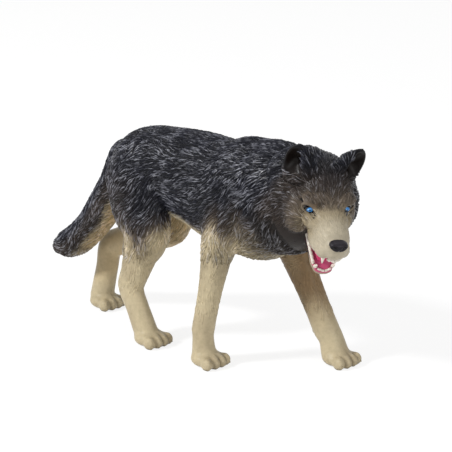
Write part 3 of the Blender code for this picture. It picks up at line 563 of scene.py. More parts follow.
coatEdge = np.array((  # x, height where the coat gives way, and the depth of the blend
    (-60, 27.8, 2), (-20, 28.2, 3.6), (-12, 28.6, 3.6), (-7.5, 29.8, 2.6), (-5, 31.2, 1.5), (-3, 33.0, 1.0),
    (2, 32.6, 1.0), (9, 32.8, 1.3), (12, 35.2, 2.0), (16, 37.0, 2.7), (23.5, 36.8, 2.9), (29, 35.0, 2.4),
    (33, 32.6, 1.4), (38, 31.0, 1.0), (60, 29, 1.0)), float)


def tailPaint(points, normals, wander):
    # dark above, cream beneath and a dark tip; onTail is 1 near the tail's path behind the rump
    path = tail["centre"][::3]
    k = np.argmin(((points[:, None] - path[None]) ** 2).sum(-1), axis=1)
    under = unit(np.cross(tail["along"][::3], (0, 1, 0)))
    under = under * np.sign(under[:, :1])
    facing = (normals * under[k]).sum(1)
    share = k / (len(tail["centre"]) / 3)
    pale = ease(facing + 0.12 * wander, 0.35, 1.0) * (1 - 0.9 * ease(share, 0.62, 0.88))
    colour = washed(plain("umber", len(points)), "charcoal", ease(-facing, -0.2, 0.5))
    colour = washed(colour, "tan", ease(pale, 0.12, 0.7))
    colour = washed(colour, "honey", 0.6 * ease(pale, 0.5, 1.0))
    reach = np.linalg.norm(points - path[k], axis=1)
    onTail = ease(-points[:, 0], 25.5, 28) * (1 - ease(reach, 5.4, 6.2))
    return colour, onTail


def toeShade(points):
    # 0 to 1: dark between the toes and where the paws meet the ground
    x, y, z = points.T
    shade = np.zeros(len(points))
    for spot in pawSpots:
        middle = toePlaces(spot)[0]
        gaps = (middle[1:, 1] + middle[:-1, 1]) / 2
        near = np.exp(-((y[:, None] - gaps) / 0.32) ** 2).max(1) * ease(x, spot[0] + 1.5, spot[0] + 2.8)
        here = (np.hypot(x - spot[0], y - spot[1]) < 7.5) & (z < 5.2)
        shade = np.maximum(shade, here * np.maximum(0.6 * near, 0.8 * (1 - ease(z, 0.1, 1.1))))
    return shade


def bodyPaint(points, normals):
    # cream below the coat's edge and charcoal above it, through taupe and umber; above is the height over
    # the edge in units of the blend's depth
    x, y, z = points.T
    wander = ripple(points, 9, 3)
    soft = np.interp(x, coatEdge[:, 0], coatEdge[:, 2])
    above = (z - np.interp(x, coatEdge[:, 0], coatEdge[:, 1])) / soft + 0.45 * wander
    colour = plain("cream", len(points))
    colour = washed(colour, "sand", 0.55 * ease(ripple(points, 11, 5), -0.2, 0.9))
    # the far hind leg and thigh take no tan and a honey wash: partly their warmer paint, partly painted light
    # lifting the body's shadow off them
    far = ease(y, 0.5, 3) * (1 - ease(x, 8, 12))
    shaded = 0.5 * ease(z, 12, 27) * ease(wander, -0.8, 0.8) + 0.25 * ease(z, 18, 28)
    colour = washed(colour, "tan", shaded * (1 - far))
    colour = washed(colour, "taupe", 0.85 * ease(above, -2.0, 0.3))
    colour = washed(colour, "umber", ease(above, -0.8, 0.9))
    colour = washed(colour, "charcoal", ease(above, 0.3, 2.6))
    colour = washed(colour, "umber", 0.5 * ease(-x, 9, 17) * (1 - ease(z, 37, 46)) * ease(above, 0.3, 1.5))
    # belly and inner thighs stay cream
    belly = ease(-normals[:, 2], 0.5, 0.8) * ease(z, 26, 29) * (1 - ease(x, 11, 15)) * (1 - ease(z, 34.5, 36))
    inner = ease(y, -1, 1.5) * (1 - ease(x, 6, 9)) * (1 - ease(z, 35, 38)) * (1 - ease(y * (z > 30), 7, 9))
    colour = washed(colour, "cream", np.maximum(belly, inner))
    # honey on the far hind leg: warmer paint together with painted light
    colour = washed(colour, "honey", 0.4 * far * ease(z, 5, 12) * (1 - ease(z, 33, 37)))
    # left foreleg is stained brown high up, and the coat's last edge under the neck is brown as well
    stain = ease(y, 4, 8) * ease(z + wander, 7, 21) * ease(x, 14, 20) * (1 - ease(z, 30, 34))
    colour = washed(colour, "ochre", 0.95 * stain)
    colour = washed(colour, "umber", 0.8 * ease(x, 26, 31) * (1 - ease(z, 36, 42)) * ease(above, -0.6, 0.6))
    tailColour, onTail = tailPaint(points, normals, wander)
    colour = colour * (1 - onTail[:, None]) + tailColour * onTail[:, None]
    colour = washed(colour, "bark", toeShade(points))
    return colour


def headPaint(points):
    # charcoal behind, bone on the muzzle, taupe and tan between, with streaks where they meet
    p = toHead(points)
    x, y, z = p.T
    wander = ripple(p, 7, 8)
    streak = ripple(p * (1, 1.6, 0.8), 3.2, 9)
    ahead = x + 0.3 * wander + 0.35 * streak - 0.35 * np.maximum(np.abs(y) - 5.5, 0)
    low = 1 - ease(z + 0.3 * streak, 2.6, 5.6)
    colour = plain("charcoal", len(p))
    colour = washed(colour, "umber", 0.9 * ease(x, -12, -6) * (1 - ease(z, 5.0, 9.0)))
    colour = washed(colour, "taupe", ease(ahead - 0.25 * np.maximum(z - 1, 0), -4.8, -1.4) * low)
    colour = washed(colour, "tan", ease(ahead - 0.9 * np.maximum(z, 0), -1.8, 2.6) * (1 - ease(z, 1.5, 4.0)))
    muzzleward = x + 0.3 * wander + 0.3 * streak - 0.8 * ease(z, -2, 1)
    colour = washed(colour, "bone", ease(muzzleward, 1.2, 8.5))
    # under the cheeks the coat is dark again, umber that is partly its paint and partly painted shade under
    # the head; smooth and brown at the throat, deepened with soot as painted shade under the jaw; near black
    # on the far side
    under = ease(-z - 0.45 * (x + 4), 3.6, 6.0) * (1 - ease(x, -1.5, 1.0))
    colour = washed(colour, "umber", under)
    throat = ease(-z, 6.5, 8.5) * (1 - ease(x, 0.5, 3.5)) * ease(x, -13, -9)
    colour = washed(washed(colour, "umber", throat), "soot", 0.45 * throat)
    colour = washed(colour, "soot", 0.8 * ease(y, 5.6, 6.8) * (1 - ease(x, -3.4, -1.8)))
    return colour


def wolfPaint(points, normals):
    # the coat's colours, giving way to the head's ahead of the ears
    onHead = ease(toHead(points)[:, 0], -11, -7)[:, None] * (points[:, 2] > 24)[:, None]
    return bodyPaint(points, normals) * (1 - onHead) + headPaint(points) * onHead


# the soles are flat on the floor
flat = pointsOf(bodySkin) + drawingShift
flat[:, 2] = np.maximum(flat[:, 2], paws["soleLift"])
bodySkin.data.vertices.foreach_set("co", (flat * mm).ravel())
bodySkin.data.update()
bodyPoints, bodyNormals = pointsOf(bodySkin), normalsOf(bodySkin)
bodyColours = wolfPaint(bodyPoints, bodyNormals)
headPoints, headNormals = pointsOf(headSkin), normalsOf(headSkin)
headColours, headLocal = wolfPaint(headPoints, headNormals), toHead(headPoints)


def faceDetail(colour, p, points, normals):
    # eye rims, the rust spot over the eye, the ears' hollows and the inside of the mouth
    x, y, z = p.T
    n = normals @ headTurn
    for hand in (-1, 1):
        ey, ez = skull["eye"][1:]
        along = (y - skull["eyeShift"] - hand * ey) * hand
        tilt = z - ez - 0.55 * along
        rim = ((along + 0.05) / 1.75) ** 2 + (tilt / 0.95) ** 2
        colour = washed(colour, "soot", (1 - ease(rim, 0.75, 1.15)) * (x > -2) * (1 - ease(x, 3.3, 4.1)))
    colour = washed(colour, "rust", 0.7 * np.exp(-(((x - 0.3) / 1.4) ** 2 + (y + 4.1) ** 2 + (z - 2.3) ** 2)))
    for name in ("right", "left"):
        e = {k: np.array(v, float) for k, v in ears[name].items()}
        q = p - e["base"]
        lean = e["tip"] - e["base"]
        v = (q @ lean) / (lean @ lean)
        u = (q @ unit(e["half"])) / np.linalg.norm(e["half"])
        facing = n @ unit(e["face"])
        depth = q @ unit(e["face"])
        inside = ease(facing, 0.0, 0.35) * (1 - ease(np.abs(u - e["cup"]), 0.42, 0.62))
        inside = inside * ease(v, -0.05, 0.06) * (1 - ease(v, 0.8, 0.97)) * (np.abs(depth) < 3)
        onEar = ease(v, 0.1, 0.3) * (np.abs(u) < 1.3) * (np.abs(depth) < 3.5)
        colour = washed(colour, "soot", 0.75 * onEar)
        colour = washed(colour, "earHollow", inside)
    j = toJaw(points)
    opening = (ease(n @ jawTurn[:, 2], 0.2, 0.6) * (j[:, 0] > 1) * (1 - ease(np.abs(j[:, 1]), 2.6, 3.5))
               * (j[:, 2] > -3) * (j[:, 2] < 1.2) * (z < -4.5))
    palate = ease(-n[:, 2], 0.3, 0.7) * (1 - ease(np.abs(y), 2.4, 3.2))
    palate = palate * (x > -1) * (x < 11.0) * (z < -5.0) * (z > -8.0)
    colour = washed(colour, "gum", np.maximum(opening, palate))
    return colour


headColours = faceDetail(headColours, headLocal, headPoints, headNormals)
print("skins coloured")


def guides():
    # where the fur lies which way: place and direction, mirrored left and right
    right = np.array((
        (-26, -4, 47, -0.8, -0.2, -0.6), (-18, -4, 52, -1, -0.1, -0.1), (-5, -3, 54, -1, -0.12, 0),
        (8, -3, 54, -1, -0.1, 0), (20, -3, 56, -1, -0.15, 0.0), (-20, -9, 44, -0.75, 0, -0.6),
        (-12, -9, 47, -0.95, 0, -0.35),
        (-3, -9, 47, -1, 0, -0.12), (6, -9, 47, -1, 0, -0.15), (-14, -10, 38, -0.7, 0, -0.75),
        (-8, -10, 36, -0.6, 0, -0.8), (-20, -8, 36, -0.55, 0, -0.85), (-10, -10, 28, -0.25, 0, -1),
        (2, -10, 40, -1, 0, -0.2), (10, -10, 40, -0.95, 0, -0.35), (15, -10, 48, -0.85, 0, -0.5),
        (17, -11, 38, -0.6, 0, -0.8), (17, -11, 30, -0.2, 0, -1), (24, -11, 48, -0.8, -0.1, -0.65),
        (24, -11, 38, -0.7, 0, -0.75), (26, -8, 30, -0.8, 0, -0.4), (31, -10, 50, -0.75, -0.2, -0.7),
        (33, -10, 40, -0.55, -0.1, -0.85), (28, -5, 55, -1, -0.2, -0.1), (5, -6, 32, -1, 0, -0.1),
        (12, -11, 20, 0, 0, -1), (-12, -9, 20, -0.3, 0, -1)), float)
    left = right * np.array((1, -1, 1, 1, -1, 1))
    leftLegs = np.array((
        (28, 12, 18, 0.45, 0.1, -1), (-30, 7, 20, -0.8, 0, -0.6), (-24, 7, 26, -0.8, 0, -0.7)), float)
    centre, across, along = (tail[k][::5] for k in ("centre", "across", "along"))
    ring = [np.hstack([centre + aside * across, along]) for aside in (-4, 0, 4)]
    head = np.array((
        (1.5, -2, 3.2, -0.55, -0.5, 0.75), (-1, -2, 6, -0.75, -0.3, 0.6), (-5, -2.5, 8, -1, -0.3, 0.1),
        (-10, -3, 7, -1, -0.4, -0.3), (0, -6, 0, -0.7, -0.7, 0.1), (-3, -7, 2.5, -0.75, -0.7, 0.0),
        (-4, -8, -1, -0.7, -0.6, -0.45), (-4, -8, -5, -0.5, -0.35, -0.8), (-6, -9, 4, -0.8, -0.6, -0.4),
        (0, -5.5, -3.5, -0.85, -0.4, -0.3), (-3, -6, -9, -0.5, -0.1, -0.9), (-10, -9, 2, -0.7, -0.3, -0.7),
        (-10, -9, -6, -0.5, -0.1, -0.9), (5, -3.8, -2, -0.95, -0.1, -0.1)), float)
    head = np.vstack([head, head * np.array((1, -1, 1, 1, -1, 1))])
    headWorld = np.hstack([fromHead(head[:, :3]), head[:, 3:] @ headTurn.T])
    every = np.vstack([right, left, leftLegs, *ring, headWorld])
    return every[:, :3], unit(every[:, 3:])


guidePlace, guideWay = guides()


def lie(points, normals, wobble, size, seed):
    # the fur's direction: guides weighed by 1 / (d^2 + 2)^2, laid in the skin, then swung by a slow ripple
    d2 = ((points[:, None] - guidePlace[None]) ** 2).sum(-1)
    way = (1 / (d2 + 2) ** 2) @ guideWay
    way = unit(way - normals * (way * normals).sum(1, keepdims=True))
    swing = wobble * (ripple(points, size, seed) + 0.5 * ripple(points, 0.45 * size, seed + 50))[:, None]
    return unit(way * np.cos(swing) + np.cross(normals, way) * np.sin(swing))


def scattered(points, cell):
    # one point from each cell of a grid, in a random order: an even but irregular scatter
    order = dice.permutation(len(points))
    key = np.floor(points[order] / cell).astype(int)
    _, first = np.unique(key, axis=0, return_index=True)
    return order[first]


# the crest tone is a painted highlight, the pale groove tone the painted shade left in grooves of pale coat;
# the values along and at the tip spread dry-brush grey and painted highlight over a strand
strandForm = {
    "stations": 5, "leaf": (0.5, 1.0, 0.95, 0.62, 0.0), "crest": (-0.25, 0.7, 1.0, 0.8, 0.12),
    "lengths": (0.6, 1.35), "spread": (0.7, 1.3), "crestHighlight": 1.15, "paleGrooveShade": 0.8,
    "brushAndHighlightAlong": (0.4, 0.8, 1.0, 0.95), "brushAndHighlightTip": 0.7,
}


def strandMesh(name, skin, seeds, style, painter):
    # each strand is a low ridge: left edge, crest and right edge carried along the skin and closed at
    # both ends; its width follows a leaf outline and the crest rises, then drops to the tip
    stations = strandForm["stations"]
    count = len(seeds)
    length = style["length"] * dice.uniform(*strandForm["lengths"], count)
    wide = style["width"] * dice.uniform(*strandForm["spread"], count) / 2
    rise = style["rise"] * dice.uniform(*strandForm["spread"], count)
    curl = dice.normal(0, style["curl"], count)
    lean = dice.normal(0, 0.55 * style["curl"], count)
    phase = dice.uniform(0, 6.28, count)
    point, normal = onSkin(skin, seeds)
    spine, outs, ways = [], [], []
    for k in range(stations):
        way = lie(point, normal, style["wobble"], style["waveSize"], style["seed"])
        bend = (lean + curl * (k / 4 - 0.3) + 0.3 * style["curl"] * np.sin(phase + 2.2 * k))[:, None]
        way = unit(way * np.cos(bend) + np.cross(normal, way) * np.sin(bend))
        spine.append(point)
        outs.append(normal)
        ways.append(way)
        if k < stations - 1:
            point, normal = onSkin(skin, point + way * (length / (stations - 1))[:, None])
    spine, outs, ways = np.stack(spine, 1), np.stack(outs, 1), np.stack(ways, 1)
    sides = unit(np.cross(outs, ways))
    leaf, crest = np.array(strandForm["leaf"]), np.array(strandForm["crest"])
    half = wide[:, None, None] * leaf[None, :, None]
    top = spine + outs * (rise[:, None] * crest[None])[..., None]
    sink = -0.3 * style["rise"] - 0.06
    left, right = spine + sides * half + outs * sink, spine - sides * half + outs * sink
    rings = np.stack([left, top, right], axis=2)[:, :4]
    points = np.concatenate([rings.reshape(count, 12, 3), top[:, 4:5]], axis=1)
    s, n = np.arange(3), (np.arange(3) + 1) % 3
    rows = [np.stack([r * 3 + s, r * 3 + n, r * 3 + 3 + n, r * 3 + 3 + s], axis=1) for r in range(3)]
    quads = np.vstack(rows)
    tris = np.vstack([np.stack([9 + s, 9 + n, np.full(3, 12)], axis=1), ((2, 1, 0),)])
    corners = np.vstack([quads[:, :3], quads[:, [0, 2, 3]], tris])
    a, b, c = (points[0][corners[:, i]] - points[0].mean(0) for i in range(3))
    if (a * np.cross(b, c)).sum() < 0:
        quads, tris = quads[:, ::-1], tris[:, ::-1]
    shift = (np.arange(count) * 13)[:, None, None]
    faces = (quads[None] + shift).reshape(-1, 4).tolist() + (tris[None] + shift).reshape(-1, 3).tolist()
    piece = makeObject(name, points.reshape(-1, 3), faces)
    piece.data.shade_smooth()
    colour = painter(spine[:, 2], outs[:, 2])
    patchy = 1 + style["patchy"] * ripple(spine[:, 2], 9, 31) + style["mottle"] * dice.normal(0, 1, count)
    colour = colour * patchy[:, None].clip(0.45, 1.7)
    # the grooves are darkened, partly the figure's dark wash and partly painted shade, deep where the coat is
    # dark and fading where it turns pale; the crests take a painted highlight
    pale = ease(colour.mean(axis=1), 0.06, 0.3)
    groove = style["groove"] + (strandForm["paleGrooveShade"] - style["groove"]) * pale
    shade = np.ones((count, 13))
    shade[:, 1:12:3] = strandForm["crestHighlight"]
    shade[:, 0:12:3] = groove[:, None]
    shade[:, 2:12:3] = groove[:, None]
    # dry-brush grey and painted highlight on the crests, rising from the root and a little less at the tip
    high = np.concatenate([np.outer(strandForm["brushAndHighlightAlong"], (0, 1, 0)).ravel(), (strandForm["brushAndHighlightTip"],)])
    # crests facing up take a little less of the grey and the painted highlight than those on the sides,
    # varied by a slow ripple
    facingScale = (1.1 - 0.22 * ease(outs[:, 2, 2], 0.3, 0.9)) * (1 + 0.2 * ripple(spine[:, 2], 5.5, 41))
    light = style["brushAndHighlight"] * high[None] * ((0.3 + dice.uniform(0, 1, count) ** 2.5) * facingScale)[:, None]
    paintPoints(piece, (colour[:, None] * shade[..., None]).reshape(-1, 3), light.ravel())
    return piece


# each kind of fur, a column a value: sizes and spacing in mm, bend and waves, seed and tones, the groove tone
# being painted shade and the crest amount dry-brush grey with painted highlight
styleKeys = ("length", "width", "rise", "cell", "curl", "wobble", "waveSize", "seed",
             "mottle", "patchy", "groove", "brushAndHighlight")
styles = {kind: dict(zip(styleKeys, row)) for kind, row in {
    "coat": (2.7, 0.46, 0.33, 0.61, 0.22, 0.4, 9, 21, 0.2, 0.22, 0.2, 1.05),
    "ruff": (3.3, 0.5, 0.42, 0.62, 0.26, 0.45, 8, 22, 0.2, 0.22, 0.2, 1.05),
    "collar": (2.9, 0.48, 0.4, 0.62, 0.26, 0.35, 7, 25, 0.2, 0.15, 0.22, 0.95),
    "face": (2.3, 0.42, 0.24, 0.55, 0.2, 0.3, 6, 23, 0.2, 0.1, 0.4, 0.7),
    "muzzle": (1.6, 0.38, 0.09, 0.66, 0.15, 0.25, 5, 26, 0.06, 0.05, 0.85, 0.2),
    "legFur": (2.4, 0.6, 0.11, 1.1, 0.12, 0.2, 9, 24, 0.05, 0.05, 0.85, 0.4),
}.items()}

# where each kind of fur grows: x, y, z in the drawing's frame, hx, hy, hz in the head's
x, y, z = bodyPoints.T
nearHead = np.linalg.norm(toHead(bodyPoints) - (-6, 0, 0), axis=1) < 24
place, way = onSkin(headSkin, bodyPoints)
buried = nearHead & (((bodyPoints - place) * way).sum(1) < 0.02)
furLine = np.array((  # x, and the height above which the coat has strands
    (-60, 10), (-30, 12), (-22, 22), (-10, 24), (-4, 28),
    (0, 30), (12, 29), (20, 29), (26, 28), (60, 26)), float)
furry = z > np.interp(x, furLine[:, 0], furLine[:, 1])
tailGap = np.sqrt(((bodyPoints[:, None] - tail["centre"][None, ::4]) ** 2).sum(-1).min(1))
farHind = (y > 3.2) & (x < -16) & (z < 31) & (tailGap > 5.6)
furry &= ~buried & ~farHind
ruffZone = furry & (x > 22)
coatZone = furry & ~ruffZone
legZone = ~furry & (z > 14) & ~buried & ~farHind
hx, hy, hz = headLocal.T
eyeSpots = [np.array(skull["eye"]) * (1, h, 1) + (0, skull["eyeShift"], 0) for h in (-1, 1)]
nearEye = np.minimum(*(np.linalg.norm((headLocal - spot) * (0.8, 0.8, 1.1), axis=1) for spot in eyeSpots))
earReach = np.full(len(headPoints), 99.0)
earFur = np.zeros(len(headPoints), bool)
for name in ("right", "left"):
    e = {k: np.array(v, float) for k, v in ears[name].items()}
    lean = e["tip"] - e["base"]
    q = headLocal - e["base"] - 0.62 * lean
    gap = (q @ unit(e["half"]) / 4.3) ** 2 + (q @ unit(lean) / 5.0) ** 2 + (q @ unit(e["face"]) / 3.4) ** 2
    earReach = np.minimum(earReach, np.sqrt(gap))
    across = (headLocal - e["base"]) @ e["half"] / (e["half"] @ e["half"])
    up = (headLocal - e["base"]) @ lean / (lean @ lean)
    earFur |= (across < e["cup"] - 0.62) & (across > -1.2) & (up < 0.78)
throatPatch = (hz < -6.3) & (hx > -9.5) & (hy < 6)
clearOfEars = (earReach > 1) & ~throatPatch
faceZone = (hx < 3.5) & (hx > -4.5) & (nearEye > 2.2) & clearOfEars & (hz > -8)
collarZone = (hx <= -4.5) & (clearOfEars | earFur)
noseGap = np.linalg.norm((headLocal - np.array(skull["noseCentre"])) / np.array(skull["noseHalf"]), axis=1)
muzzleZone = (hx >= 3.5) & (hx < 11) & (hz > -4.5) & (nearEye > 2.0) & (noseGap > 1.5)

# painted shade: the ground between the strands is darker than their crests
groundShade = {"coat": 0.38, "collar": 0.45, "cheeks": 0.6, "face": 0.75}
overEdge = bodyPoints[:, 2] - np.interp(bodyPoints[:, 0], coatEdge[:, 0], coatEdge[:, 1])
bodyGroundShade = 1 - (1 - groundShade["coat"]) * ease(overEdge, 1, 5)
headGroundShade = np.select([collarZone & (hx > -8), collarZone, faceZone],
                       [groundShade[key] for key in ("cheeks", "collar", "face")], 1.0)
paintPoints(bodySkin, bodyColours * bodyGroundShade[:, None])
paintPoints(headSkin, headColours * headGroundShade[:, None])
print("skins painted")

pieces = [bodySkin, headSkin]
for name, skin, points, zone, style in (
        ("wolfCoatHind", bodySkin, bodyPoints, coatZone & (x < -9), "coat"),
        ("wolfCoatFore", bodySkin, bodyPoints, coatZone & (x >= -9), "coat"),
        ("wolfRuff", bodySkin, bodyPoints, ruffZone, "ruff"),
        ("wolfCollar", headSkin, headPoints, collarZone, "collar"),
        ("wolfLegFur", bodySkin, bodyPoints, legZone, "legFur"),
        ("wolfFaceFur", headSkin, headPoints, faceZone, "face"),
        ("wolfMuzzleFur", headSkin, headPoints, muzzleZone, "muzzle")):
    chosen = points[zone]
    seeds = chosen[scattered(chosen, styles[style]["cell"])]
    pieces.append(strandMesh(name, skin, seeds, styles[style], wolfPaint))
    print(name, len(seeds), "strands")


eyePaint = {"ring": (0.62, 0.74), "pupil": (0.16, 0.3), "glint": (0.1, 0.2), "glintAt": (-0.3, 0.2)}


def eyeObject(hand):
    # an egg set between the lids; the paint goes by r, the distance from the middle of the iris
    centre = np.array(skull["eye"]) * (1, hand, 1) + (0, skull["eyeShift"], 0)
    turn = headTurn @ turned("Z", hand * skull["eyeYaw"])
    shell = ballShell(fromHead(centre + (0.25, 0, 0)), skull["eyeHalf"], turn, rings=25, around=40)
    piece = makeObject("wolfEyeLeft" if hand > 0 else "wolfEyeRight", *gather([shell]))
    piece.data.shade_smooth()
    p = toHead(pointsOf(piece)) - centre
    r = np.hypot(p[:, 1] * hand + 0.1, p[:, 2] / 0.95)
    glint = np.hypot(p[:, 1] - eyePaint["glintAt"][0], p[:, 2] - eyePaint["glintAt"][1])
    colour = washed(plain("iris", len(p)), "eyeBlack", ease(r, *eyePaint["ring"]))
    colour = washed(colour, "pupil", 1 - ease(r, *eyePaint["pupil"]))
    colour = washed(colour, "glint", 1 - ease(glint, *eyePaint["glint"]))
    paintPoints(piece, colour)
    return piece


def noseObject():
    # a rounded pad, broad above and narrow below, dented by two nostrils
    rings, around = 30, 44
    v = np.linspace(-math.pi / 2, math.pi / 2, rings + 2)[1:-1][:, None]
    u = np.linspace(0, 2 * math.pi, around, endpoint=False)[None]
    x, y, z = np.cos(v) * np.cos(u), np.cos(v) * np.sin(u), np.sin(v) * np.ones_like(u)
    squared = (np.abs(x) ** 2.6 + np.abs(y) ** 2.6 + np.abs(z) ** 2.6) ** (-1 / 2.6)
    x, y, z = x * squared, y * squared, z * squared
    narrow = 1 - 0.28 * ease(-z, -0.2, 1.0)
    dent = sum(np.exp(-(((y - h * 0.55) / 0.22) ** 2 + ((z - 0.1) / 0.3) ** 2)) * (x > 0) for h in (-1, 1))
    groove = np.exp(-(y / 0.10) ** 2) * (x > 0) * ease(-z, -0.1, 0.5)
    half = np.array(skull["noseHalf"])
    grid = np.stack([x * (1 - 0.6 * dent - 0.2 * groove), y * narrow, z], axis=-1) * half
    poles = np.array(((0, 0, -1.0), (0, 0, 1.0))) * half
    centre = np.array(skull["noseCentre"])
    shell = closedGrid(fromHead(grid.reshape(-1, 3) + centre).reshape(grid.shape), *fromHead(poles + centre))
    piece = makeObject("wolfNose", *gather([shell]))
    piece.data.shade_smooth()
    # the nostrils are painted black as painted shade in their dents, the pad between and below them a shade
    # lighter
    p = (toHead(pointsOf(piece)) - centre) / half
    nostrilShade = sum(np.exp(-((p[:, 1] - h * 0.52) / 0.34) ** 2 - ((p[:, 2] - 0.15) / 0.4) ** 2)
                  for h in (-1, 1))
    paintPoints(piece, washed(plain("noseBlack", len(p)), "nostrilShade", nostrilShade))
    return piece


def smoothPiece(name, shells, paint):
    # closed shells as one smooth object in one paint
    piece = makeObject(name, *gather(shells))
    piece.data.shade_smooth()
    paintPoints(piece, plain(paint, len(piece.data.vertices)))
    return piece


def tongueObject():
    # a flat loft that lies on the lower jaw
    rows = np.array(((4.0, -0.1, 0.0, 2.2, 0.7), (7.5, -0.1, 0.5, 2.0, 0.75),
                     (10.5, -0.2, 0.6, 1.7, 0.65), (12.4, -0.2, 0.3, 1.2, 0.5)))
    path = carried(np.hstack([fromJaw(rows[:, :3]), rows[:, 3:]]), headTurn[:, 1])
    return smoothPiece("wolfTongue", [tubeShell(path, 32)], "tongue")


toothSizes = {  # a row has a number of bumps and a radius
    "canine": 0.5, "upperTips": {-1: -8.3, 1: -7.3},
    "upperRow": (5, 0.36), "lowerRow": (8, 0.46), "frontRow": (4, 0.34),
}


def toothRow(path, place, bumps, radius):
    # small teeth run together: a tube along the gum whose height swings with |sin| of the way along
    rows = smoothRows(np.array(path, float), 14)
    t = np.linspace(0, 1, len(rows))
    half = radius * (0.62 + 0.75 * np.abs(np.sin(math.pi * bumps * t)))
    rows = np.stack([*rows.T, 0.8 * radius * np.ones(len(rows)), half], axis=1)
    return tubeShell(carried(np.hstack([place(rows[:, :3]), rows[:, 3:]]), headTurn[:, 1], perSpan=1), 10)


def teethObject():
    # one larger canine at each corner of both jaws, with rows of small teeth behind and between
    made = []
    for hand in (-1, 1):
        tip = (9.8, hand * 2.1, toothSizes["upperTips"][hand])
        made.append(coneShell(fromHead((10.0, hand * 2.2, -5.9)), fromHead(tip), toothSizes["canine"]))
        tip = (14.2, hand * 2.15 + 0.2, 2.0)
        made.append(coneShell(fromJaw((13.9, hand * 2.05 + 0.2, -0.3)), fromJaw(tip), toothSizes["canine"]))
        gum = ((9.4, hand * 2.7, -6.3), (7.0, hand * 3.1, -6.5), (4.4, hand * 3.4, -6.3))
        made.append(toothRow(gum, fromHead, *toothSizes["upperRow"]))
        gum = ((13.2, hand * 2.55 + 0.2, 0.05), (10.6, hand * 2.8 + 0.1, 0.0),
               (7.6, hand * 3.1, 0.0), (4.6, hand * 3.5, 0.0))
        made.append(toothRow(gum, fromJaw, *toothSizes["lowerRow"]))
    gum = ((11.3, -1.5, -5.9), (11.9, 0, -5.9), (11.3, 1.5, -5.9))
    made.append(toothRow(gum, fromHead, *toothSizes["frontRow"]))
    gum = ((14.6, -1.3, 0.0), (15.1, 0.2, 0.0), (14.6, 1.7, 0.0))
    made.append(toothRow(gum, fromJaw, *toothSizes["frontRow"]))
    return smoothPiece("wolfTeeth", made, "tooth")


def clawsObject():
    # every paw's nubs as one piece
    return smoothPiece("wolfClaws", [shell for spot in pawSpots for shell in clawShells(spot)], "claw")


eyes = [eyeObject(-1), eyeObject(1)]
nose, tongue, teeth, claws = noseObject(), tongueObject(), teethObject(), clawsObject()
print("face pieces made")


def addNode(tree, kind, settings=None, **links):
    # one node with its settings; a link is a socket, a plain value goes on the socket itself
    node = tree.nodes.new(kind)
    for key, value in (settings or {}).items():
        setattr(node, key, value)
    for key, value in links.items():
        numbered = key[0] == "i" and key[1:].isdigit()
        socket = node.inputs[int(key[1:]) if numbered else key.replace("_", " ")]
        if isinstance(value, bpy.types.NodeSocket):
            tree.links.new(value, socket)
        else:
            socket.default_value = value
    return node


def newMaterial(name):
    material = bpy.data.materials.new(name)
    material.use_nodes = True
    tree = material.node_tree
    tree.nodes.clear()
    out = addNode(tree, "ShaderNodeOutputMaterial")
    shader = addNode(tree, "ShaderNodeBsdfPrincipled")
    tree.links.new(shader.outputs["BSDF"], out.inputs["Surface"])
    return material, tree, shader


# the crests' grey is dry-brush paint and painted highlight, the near-white painted highlight only
vinylFinish = {  # sizes in metres, linear colours
    "mottleSize": 0.0012, "grainSize": 0.0005, "grainDepth": 0.0001,
    "brushAndHighlightGrey": (0.122, 0.124, 0.146), "paintedHighlightWhite": (0.42, 0.43, 0.46, 1),
}


